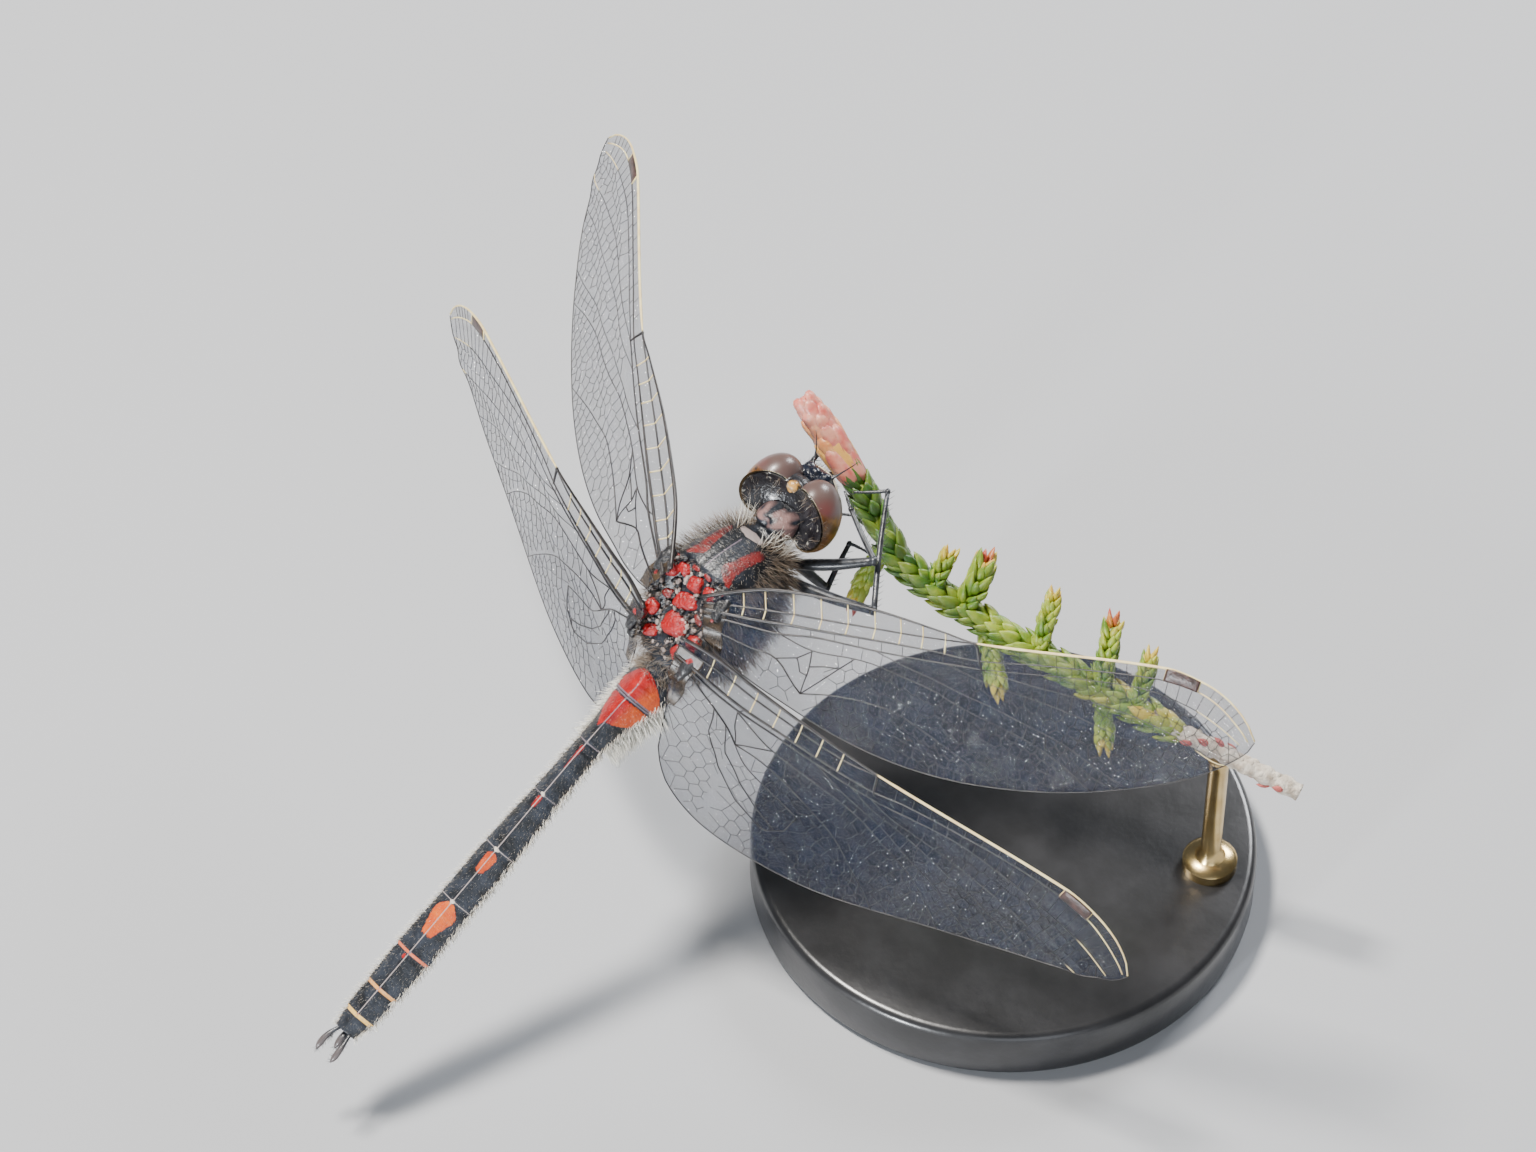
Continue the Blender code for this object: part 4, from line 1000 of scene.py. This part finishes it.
for name, side in (("left", 1), ("right", -1), ("lower", 0)):
    store = newStore()
    long = 1.62 if side else 1.0
    base = tailEnd + Vector((side * 0.34, 0, 0.08 if side else -0.3))
    tip = base + Vector((side * 0.2, long, 0.08 if side else 0.1))
    points = [inTail(base.lerp(tip, t) + Vector((side * 0.1, 0, 0.12)) * math.sin(math.pi * t))
              for t in np.linspace(0, 1, 12)]
    shape = ((0, 0.12), (0.15, 0.1), (0.45, 0.15), (0.75, 0.17), (0.9, 0.12), (1, 0.02)) if side else \
        ((0, 0.24), (0.5, 0.2), (0.85, 0.13), (1, 0.05))
    storeTube(store, points, [between(shape, t) for t in np.linspace(0, 1, 12)], up, 12,
              [0.2 + 0.65 * soft(0.1, 0.8, t) for t in np.linspace(0, 1, 12)], 0.85)
    for n in range(70):
        t = draw.uniform(0.1, 0.98)
        spot = blend(points[0], points[-1], t)
        aim = unit(draw.normal(0, 1, 3) + np.array(tailTurn @ Vector((0, 1.0, 0))) * 0.6)
        storeTube(store, [spot, spot + aim * 0.16, spot + aim * 0.28], (0.012, 0.009, 0.003), up, 3, 0.1)
    storePiece(store, f"appendage_{name}_visual", legFinish, (f"appendage_{name}",))
print("limbs built")


# Hair: thin bent tufts in arrays, every tuft a small patch of the coat's own map
def sampleSkin(many, low, high, keep):  # roots, normals, backward lie and map places on the trunk skin
    grid = rows[:, :3].reshape(len(steps), around, 3)
    back = unit(np.gradient(grid, axis=0))
    side = unit(np.roll(grid, -1, 1) - np.roll(grid, 1, 1))
    out = unit(np.cross(back, side))
    spots, outs, backs, maps = [], [], [], []
    while len(spots) < many:
        i, k = draw.uniform(low, high), draw.uniform(0, around)
        a, b = int(i), int(k) % around
        c = (b + 1) % around
        u, v = i - a, k - int(k)
        front, rear = (grid[n, b] * (1 - v) + grid[n, c] * v for n in (a, a + 1))
        spot = front * (1 - u) + rear * u
        rise = -math.cos(2 * math.pi * k / around)
        if draw.uniform() < keep(spot, rise):
            spots.append(spot)
            outs.append(out[a, b])
            backs.append(back[a, b])
            maps.append((0.02 + 0.95 * k / around, 0.02 + 0.95 * i / len(steps)))
    return np.array(spots), np.array(outs), np.array(backs), np.array(maps)


def growTufts(coat, spots, out, lie, long, wide, maps, root, tip, bend=0.5, stray=0.18):
    many = len(spots)
    long = (long[0] + (long[1] - long[0]) * draw.uniform(0, 1, many))[:, None]
    first = unit(out + lie * 0.4 + draw.normal(0, stray, (many, 3)))
    last = unit(out * (1 - bend) + lie * (0.4 + bend) + draw.normal(0, stray, (many, 3)))
    side = unit(np.cross(first, lie + draw.normal(0, 0.3, (many, 3))))
    other = np.cross(side, first)
    wide = wide * draw.uniform(0.7, 1.2, many)[:, None]
    parts, tints = [], []
    rootTint, tipTint = root + draw.normal(0, 0.05, many), tip + draw.normal(0, 0.07, many)
    for t in (0.0, 0.35, 0.7):
        centre = spots - out * 0.03 + long * (first * t + (last - first) * t * t / 2)
        for k in range(3):
            a = 2 * math.pi * k / 3
            parts.append(centre + wide * (1 - 0.75 * t) * (side * math.cos(a) + other * math.sin(a)))
            tints.append(rootTint + (tipTint - rootTint) * t)
    parts.append(spots + long * (first + (last - first) / 2))
    tints.append(tipTint)
    coat["verts"].append(np.stack(parts, 1).reshape(-1, 3))
    coat["tint"].append(np.stack(tints, 1).reshape(-1))
    patch = np.array([(k / 2 - 0.5, t / 3 - 0.5) for t in range(3) for k in range(3)] + [(0, 0.5)]) * 0.003
    coat["maps"].append((maps[:, None] + patch[None]).reshape(-1, 2))
    shape = [(r * 3 + k, r * 3 + (k + 1) % 3, r * 3 + 3 + (k + 1) % 3, r * 3 + 3 + k) for r in range(2)
             for k in range(3)] + [(6, 7, 9), (7, 8, 9), (8, 6, 9)]
    for n in range(many):
        base = coat["count"] + n * 10
        coat["faces"] += [tuple(base + i for i in face) for face in shape]
    coat["count"] += many * 10


hairFinish = newFinish("hairStrand", 0.5, Sheen_Weight=0.2)
hairHue = mixed(reading("tint", 0.0, 0.5), (0.008, 0.006, 0.006), (0.2, 0.14, 0.09))
hairHue = mixed(reading("tint", 0.45, 1.0), hairHue, (0.86, 0.83, 0.74))
paint(hairHue)
draw = np.random.default_rng(23)
trunkCoat, tailCoat = newStore(), newStore()


def yRing(y):  # ring number at a place along the chest, then along the tail
    return neckRings + (y - chestRun[0]) / chestRun[1] * chestRings


def sRing(s):
    return neckRings + chestRings + 1 + (s - tailRun[0]) / tailRun[1] * tailRings


def tuftBand(coat, many, low, high, keep, lie, long, wide, root, tip, bend=0.5, stray=0.18):
    spots, out, back, maps = sampleSkin(many, low, high, keep)
    lie = back * lie[0] + np.array((0, 0, -1.0)) * lie[1]
    growTufts(coat, spots, out, lie, long, wide, maps, root, tip, bend, stray)


def flankKeep(p, rise):
    return (rise < 0.55 or p[1] < -4.3) * (1.0 - 0.5 * (rise < -0.6)) * (abs(p[0]) > 0.75 or rise < 0)


bands = (  # coat, count, rings, where, lie back and down, length, width, root and tip tint, bend, stray
    (trunkCoat, 4600, yRing(-4.9), yRing(1.9), flankKeep,
     (0.55, 0.3), (0.7, 1.2), 0.014, 0.02, 0.62, 0.4, 0.22),
    (trunkCoat, 130, yRing(-4.95), yRing(-4.5), lambda p, rise: abs(p[0]) > 0.7 and rise > -0.6,
     (-0.2, 0.0), (0.9, 1.5), 0.02, 0.5, 1.15, 0.3, 0.32),
    (trunkCoat, 150, 12, 21, lambda p, rise: abs(p[0]) > 0.5,
     (-0.2, 0.0), (0.5, 1.1), 0.013, 0.3, 0.95, 0.4, 0.3),
    (trunkCoat, 420, yRing(-4.6), yRing(-2.2), lambda p, rise: rise > 0.5,
     (0.7, 0.0), (0.25, 0.5), 0.009, 0.5, 0.8),
    (trunkCoat, 620, yRing(-2.2), yRing(2.6), lambda p, rise: (rise > 0.5) * (0.25 + (abs(p[0]) > 1.3)),
     (0.5, 0.0), (0.35, 0.75), 0.012, 0.15, 0.6, 0.3, 0.35),
    (trunkCoat, 900, yRing(1.9), sRing(-1.4), lambda p, rise: rise > -0.7,
     (0.5, 0.0), (0.45, 0.85), 0.014, 0.2, 0.75, 0.4, 0.3),
    (tailCoat, 3000, sRing(-1.4), sRing(20.9), lambda p, rise: (rise < 0.5) * (rise > -0.75),
     (0.9, 0.0), (0.28, 0.56), 0.018, 0.6, 1.1, 0.45, 0.22),
    (tailCoat, 1500, sRing(-0.2), sRing(20.9), lambda p, rise: rise > 0.45,
     (2.2, 0.0), (0.1, 0.2), 0.006, 0.3, 0.9, 0.6, 0.12),
    (tailCoat, 1500, sRing(-0.6), sRing(2.7), lambda p, rise: (rise < -0.2) * (rise > -0.9),
     (0.5, 0.5), (0.8, 1.3), 0.026, 0.9, 1.15, 0.5, 0.12),
)
for band in bands:
    tuftBand(*band)
storePiece(trunkCoat, "coat_thorax", hairFinish)
storePiece(tailCoat, "coat_abdomen", hairFinish)

faceCoat = newStore()
toBody = np.array(toWorld.inverted())
skull = headSkin.data.vertices
places = np.array([vert.co for vert in skull]) @ toBody[:3, :3].T + toBody[:3, 3]
normals = unit(np.array([vert.normal for vert in skull]) @ toBody[:3, :3].T)
inFrame = (places - np.array(headCentre)) @ np.array(headTurn)
off, back, high = abs(inFrame[:, 0]), inFrame[:, 1], inFrame[:, 2]
faceBands = (  # where on the head, count, length, root and tip tint, width
    ((back < -0.9) & (high < 1.1) & (off < 1.25), 700, (0.25, 0.6), 0.3, 0.9, 0.01),
    ((np.array(headMarks["hollow"]) > 0.05) & (off > 0.6), 120, (0.25, 0.6), 0.2, 0.85, 0.01),
    ((high > 0.9) & (back < -0.6) & (off < 0.7), 110, (0.3, 0.55), 0.05, 0.1, 0.009),
)
for where, many, long, root, tip, wide in faceBands:
    chosen = draw.choice(np.where(where)[0], many)
    spread = inFrame[chosen]
    maps = np.stack([0.1 + 0.8 * (spread[:, 0] + 2.7) / 5.4, 0.1 + 0.8 * (spread[:, 2] + 2) / 4], 1)
    lie = np.tile(np.array(headTurn @ Vector((0, -0.3, -0.5))), (many, 1))
    growTufts(faceCoat, places[chosen], normals[chosen], lie, long, wide, maps, root, tip, 0.3, 0.25)
storePiece(faceCoat, "coat_head", hairFinish)
print("hair grown")


# Heather sprig: plump keeled leaves in four ranks, a bud of long sepals, bare bark behind
sprigPath = ((3.75, -11.1, -4.0), (1.8, -10.2, -5.3), (-0.21, -9.22, -6.73), (-1.94, -8.1, -7.96),
             (-3.68, -7.25, -9.24), (-5.92, -7.13, -10.85), (-9.63, -7.5, -13.4), (-14.29, -8.06, -16.42),
             (-19.29, -9.01, -19.48), (-22.03, -9.52, -21.16))
budEnd, leafyEnd, rodShare = 0.165, 0.8, 0.865
sprigUp = (0.2, 0.1, 1.0)
shoots = ((0.36, (-5.04, -8.88, -9.66), 0.9), (0.42, (-6.29, -9.62, -10.77), 1.2),
          (0.55, (-9.24, -10.31, -12.83), 0.92), (0.66, (-11.69, -11.05, -14.62), 0.95),
          (0.72, (-13.8, -10.71, -15.99), 0.85), (0.46, (-9.51, -4.79, -13.71), 0.95),
          (0.67, (-14.1, -5.6, -17.2), 0.95), (0.27, (-2.31, -4.01, -9.89), 0.95))
sprigRows = np.array(sprigPath)
sprigRun = np.concatenate([[0], np.cumsum(np.linalg.norm(np.diff(sprigRows, axis=0), axis=1))])
sprigLength = sprigRun[-1]


def onSprig(share):
    return np.array([np.interp(share * sprigLength, sprigRun, sprigRows[:, i]) for i in range(3)])


def frameOf(run):  # two directions square to a run along the sprig
    side = unit(np.cross(run, sprigUp))
    return side, np.cross(side, run)


def storeLeaf(store, base, run, out, long, wide, spread, tint, plump=0.6, blunt=0.0):
    run, out = unit(np.asarray(run)), unit(np.asarray(out))
    lean = math.radians(spread)
    points = []
    for t in np.linspace(0, 1, 8):  # curls back in towards the shoot at its tip
        points.append(base + long * t * (run * math.cos(lean) + out * math.sin(lean) * (1 - 0.35 * t)))
    end = (0.72 + 0.18 * blunt, 0.42 + 0.36 * blunt, 0.06 + 0.3 * blunt)
    radii = [wide / 2 * r for r in (0.45, 0.85, 1.0, 1.0, 0.92, *end)]
    side = unit(np.cross(run, out))
    storeTube(store, points, radii, np.cross(side, run) + 1e-3, 7, tint, plump)


leafFinish = newFinish("heatherLeaf", 0.42, Subsurface_Weight=0.15, Subsurface_Scale=0.0006,
                       Coat_Weight=0.25, Coat_Roughness=0.35)
leafHue = mixed(grain(1.1, 2.0), (0.1, 0.2, 0.01), (0.32, 0.4, 0.035))
leafHue = mixed(reading("tint", 0.0, 0.35), (0.03, 0.1, 0.015), leafHue)
leafHue = mixed(reading("tint", 0.45, 0.75), leafHue, (0.6, 0.46, 0.05))
leafHue = mixed(reading("tint", 0.75, 1.0), leafHue, (0.45, 0.06, 0.025))
paint(leafHue, grain(9.0, 3.0, 0.3, 0.7), 0.4, 0.03)
draw = np.random.default_rng(31)
leaves = newStore()
woodTint = 0.2


def leafyShoot(store, pathOf, long, radius, leaf, step, tintOf, tipLeaves=True):
    count = max(3, int(long / step))
    for n in range(count + 1):
        t = n / count
        here, ahead = pathOf(t), pathOf(min(t + 0.02, 1.0)) - pathOf(max(t - 0.02, 0.0))
        run = unit(ahead)
        side, lift = frameOf(run)
        size = leaf * (1 - 0.35 * soft(0.75, 1.0, t)) if tipLeaves else leaf
        for k in range(2):
            a = math.pi * k + (math.pi / 2 if n % 2 else 0) + draw.uniform(-0.25, 0.25)
            out = side * math.cos(a) + lift * math.sin(a)
            spread = (34 if t < 0.92 or not tipLeaves else 16) + draw.uniform(-7, 9)
            storeLeaf(store, here + out * radius * 0.12, run, out, size * draw.uniform(0.88, 1.12),
                      size * 0.42, spread, tintOf(t) + draw.uniform(-0.08, 0.08))
            storeLeaf(store, here + out * radius * 0.1 - run * step * 0.5, run,
                      side * math.cos(a + 0.78) + lift * math.sin(a + 0.78), size * 0.85, size * 0.38,
                      spread + 8, tintOf(t) + draw.uniform(-0.1, 0.06))


def alongSprig(t):
    return onSprig(budEnd + (leafyEnd - budEnd) * t)


def sprigTint(t):
    return 0.14 + 0.3 * (1 - soft(0.3, 0.75, t)) + 0.2 * (1 - soft(0.0, 0.35, t)) * (draw.uniform() < 0.5)


leafyLong = (leafyEnd - budEnd) * sprigLength
leafyShoot(leaves, lambda t: alongSprig(1 - t), leafyLong, 1.15, 1.7, 0.42, sprigTint, False)
core = [alongSprig(t) for t in np.linspace(0, 1, 60)]
storeTube(leaves, core, 0.4, sprigUp, 10, woodTint)
for share, tip, radius in shoots:
    start, end = onSprig(share), np.array(tip)
    long = np.linalg.norm(end - start)
    bow = unit(np.cross(end - start, (0.3, 0.9, 0.2))) * 0.07 * long

    def shootPath(t):
        return blend(start, end, t * 0.93) + bow * math.sin(math.pi * t)

    pink = 0.95 if share in (0.42, 0.66, 0.27) else 0.72
    storeTube(leaves, [shootPath(t) for t in np.linspace(0, 0.95, 14)], 0.24, sprigUp, 8, woodTint)
    leafyShoot(leaves, shootPath, long, radius, radius * 1.25, 0.27,
               lambda t: 0.3 + 0.25 * t + (pink - 0.5) * soft(0.72, 1.0, t))
storePiece(leaves, "heather_leaves", leafFinish,
           ("perch_leafy", *(f"perch_shoot_{n}" for n in range(1, 9))))

budFinish = newFinish("heatherSepal", 0.45, Subsurface_Weight=0.2, Subsurface_Scale=0.0008,
                      Coat_Weight=0.2, Coat_Roughness=0.3)
petal = mixed(grain(1.6, 2.0, 0.35, 0.6), (0.56, 0.11, 0.085), (0.7, 0.28, 0.2))
petal = mixed(reading("tint", 0.55, 0.9), petal, (0.74, 0.36, 0.08))
paint(petal, grain(6.0, 3.0, 0.3, 0.7), 0.4, 0.03)
bud = newStore()
for n in range(9):
    t = n / 8
    here = onSprig(budEnd * (1.0 - 0.74 * t))
    run = unit(sprigRows[0] - sprigRows[1])
    side, lift = frameOf(run)
    for k in range(4):
        a = 1.571 * k + 0.8 * n + draw.uniform(-0.15, 0.15)
        out = side * math.cos(a) + lift * math.sin(a)
        long = (2.3 - 1.15 * t) * draw.uniform(0.92, 1.08)
        storeLeaf(bud, here + out * (0.46 - 0.08 * t * t), run, out, long, 0.9 - 0.1 * t,
                  9 + draw.uniform(-3, 4), draw.choice((0.2, 0.3, 0.4, 0.8, 0.9)) - 0.3 * t, 0.5, 1.0)
storeTube(bud, [onSprig(budEnd * t) for t in np.linspace(0.06, 1.0, 12)],
          [0.22, 0.46, 0.54, 0.58, 0.56, 0.58, 0.58, 0.58, 0.58, 0.56, 0.5, 0.4], up, 14, 0.2)
storePiece(bud, "heather_bud_visual", budFinish, ("perch_bud",))

barkFinish = newFinish("heatherBark", 0.68)
bark = mixed(grain(2.0, 4.0), (0.42, 0.34, 0.26), (0.72, 0.66, 0.56))
bark = mixed(reading("tint", 0.5, 0.8), bark, (0.5, 0.12, 0.1))
paint(bark, grain(4.0, 5.0, 0.3, 0.7), 0.8, 0.09)
stem = newStore()
shares = np.linspace(leafyEnd - 0.06, 1.0, 46)
lumpy = [0.42 + 0.05 * math.sin(31 * s * 6.3) + 0.05 * draw.uniform() for s in shares]
storeTube(stem, [onSprig(s) for s in shares], lumpy, sprigUp, 20)
stemRun = unit(sprigRows[-1] - sprigRows[-2])
for n in range(26):
    share = leafyEnd + (0.985 - leafyEnd) * n / 25
    a = 2.4 * n
    side, lift = frameOf(stemRun)
    out = side * math.cos(a) + lift * math.sin(a)
    long, wide, tint = (0.75, 0.36, 0.95) if n % 3 == 0 else (0.42, 0.3, 0.1)
    storeLeaf(stem, onSprig(share) + out * 0.33, -stemRun, out, long, wide, 32, tint, 0.7)
storePiece(stem, "heather_stem_visual", barkFinish, ("perch_stem",))
print("sprig built")


# Display stand
standSizes = {"radius": 12.5, "thick": 3.0, "rod": 0.5, "edge": 0.45}
baseBm = bmesh.new()
bmesh.ops.create_cone(baseBm, cap_ends=True, segments=160, radius1=standSizes["radius"],
                      radius2=standSizes["radius"], depth=standSizes["thick"])
rims = [edge for edge in baseBm.edges if abs(edge.verts[0].co.z - edge.verts[1].co.z) < 1e-6]
bmesh.ops.bevel(baseBm, geom=rims, offset=standSizes["edge"], segments=4, affect="EDGES", profile=0.5,
                material=-1)
bmesh.ops.translate(baseBm, vec=(0, 0, standSizes["thick"] / 2), verts=baseBm.verts)
baseFinish = newFinish("blackBase", 0.32, Coat_Weight=0.3, Coat_Roughness=0.2)
paint(mixed(grain(0.5, 4.0), (0.012, 0.012, 0.013), (0.022, 0.022, 0.024)), grain(2.2, 5.0, 0.3, 0.7), 0.25,
      0.02)
addPiece("stand_disc", baseBm, baseFinish, ("stand_base",), standSpace, 30)
rodTop = (toWorld @ Vector(onSprig(rodShare))) / mm
rodBm = bmesh.new()
profile = ((0.0, 1.35), (0.55, 1.35), (0.75, 1.15), (0.85, 0.75), (1.1, 0.6), (1.5, 0.5),
           (rodTop.z - 4.1, 0.5), (rodTop.z - 3.9, 0.56), (rodTop.z - 3.5, 0.56))
ring = [rodBm.verts.new((0, 0, 0))] + [rodBm.verts.new((r, 0, z)) for z, r in profile]
last = rodBm.verts.new((0, 0, profile[-1][0] + 0.1))
line = [rodBm.edges.new(pair) for pair in zip(ring, ring[1:] + [last])]
bmesh.ops.spin(rodBm, geom=ring + [last] + line, cent=(0, 0, 0), axis=(0, 0, 1), angle=2 * math.pi, steps=48)
bmesh.ops.remove_doubles(rodBm, verts=rodBm.verts, dist=1e-4)
bmesh.ops.translate(rodBm, vec=(rodTop.x, rodTop.y, standSizes["thick"] - 0.02), verts=rodBm.verts)
brassFinish = newFinish("brassRod", 0.25, Metallic=1.0)
paint(mixed(grain(1.2, 3.0), (0.6, 0.42, 0.17), (0.72, 0.54, 0.26)), grain(4.0, 3.0, 0.3, 0.7), 0.15, 0.01)
addPiece("stand_post", rodBm, brassFinish, ("stand_rod",), standSpace, 40)
print("stand built")


# Floor, lights and camera
floorBm = bmesh.new()
bmesh.ops.create_grid(floorBm, x_segments=1, y_segments=1, size=1.5)
floorMesh = bpy.data.meshes.new("floor")
floorBm.to_mesh(floorMesh)
floorBm.free()
floor = bpy.data.objects.new("floor", floorMesh)
bpy.context.scene.collection.objects.link(floor)
floorFinish = newFinish("paleFloor", 0.7)
paint((0.42, 0.43, 0.45, 1))
floorMesh.materials.append(floorFinish)

lamps = {  # place and aim in mm, size in mm, watts, colour
    "key": ((110, 60, 330), (5, 8, 15), 60, 2.7, (1.0, 0.96, 0.9)),
    "fill": ((-260, 160, 120), (0, 0, 10), 200, 0.3, (0.88, 0.93, 1.0)),
    "sheen": ((-60, 300, 38), (-8, 8, 18), 20, 1.2, (0.92, 0.96, 1.0)),
    "rim": ((60, -260, 160), (0, 0, 12), 90, 0.9, (0.95, 0.97, 1.0)),
}
for name, (at, aim, size, watts, color) in lamps.items():
    light = bpy.data.lights.new(name, "AREA")
    light.size, light.energy, light.color = size * mm, watts, color
    lamp = bpy.data.objects.new(name, light)
    lamp.location = Vector(at) * mm
    lamp.rotation_euler = (Vector(at) - Vector(aim)).to_track_quat("Z", "Y").to_euler()
    bpy.context.scene.collection.objects.link(lamp)

world = bpy.data.worlds.new("studio")
bpy.context.scene.world = world
world.use_nodes = True
world.node_tree.nodes["Background"].inputs["Color"].default_value = (0.8, 0.86, 0.95, 1)
world.node_tree.nodes["Background"].inputs["Strength"].default_value = 0.13

viewing = {"at": (-154.718, 152.711, 280.116), "aim": (8.447, 8.335, 21.544),
           "up": (0.58388, -0.49398, 0.64426), "lens": 167.264}
lensData = bpy.data.cameras.new("camera")
lensData.lens, lensData.sensor_width, lensData.clip_start = viewing["lens"], 36, 0.005
camera = bpy.data.objects.new("camera", lensData)
back = (Vector(viewing["at"]) - Vector(viewing["aim"])).normalized()
right = Vector(viewing["up"]).cross(back).normalized()
turned = Matrix((right, back.cross(right), back)).transposed().to_4x4()
turned.translation = Vector(viewing["at"]) * mm
camera.matrix_world = turned
bpy.context.scene.collection.objects.link(camera)
bpy.context.scene.camera = camera
print("stage set")
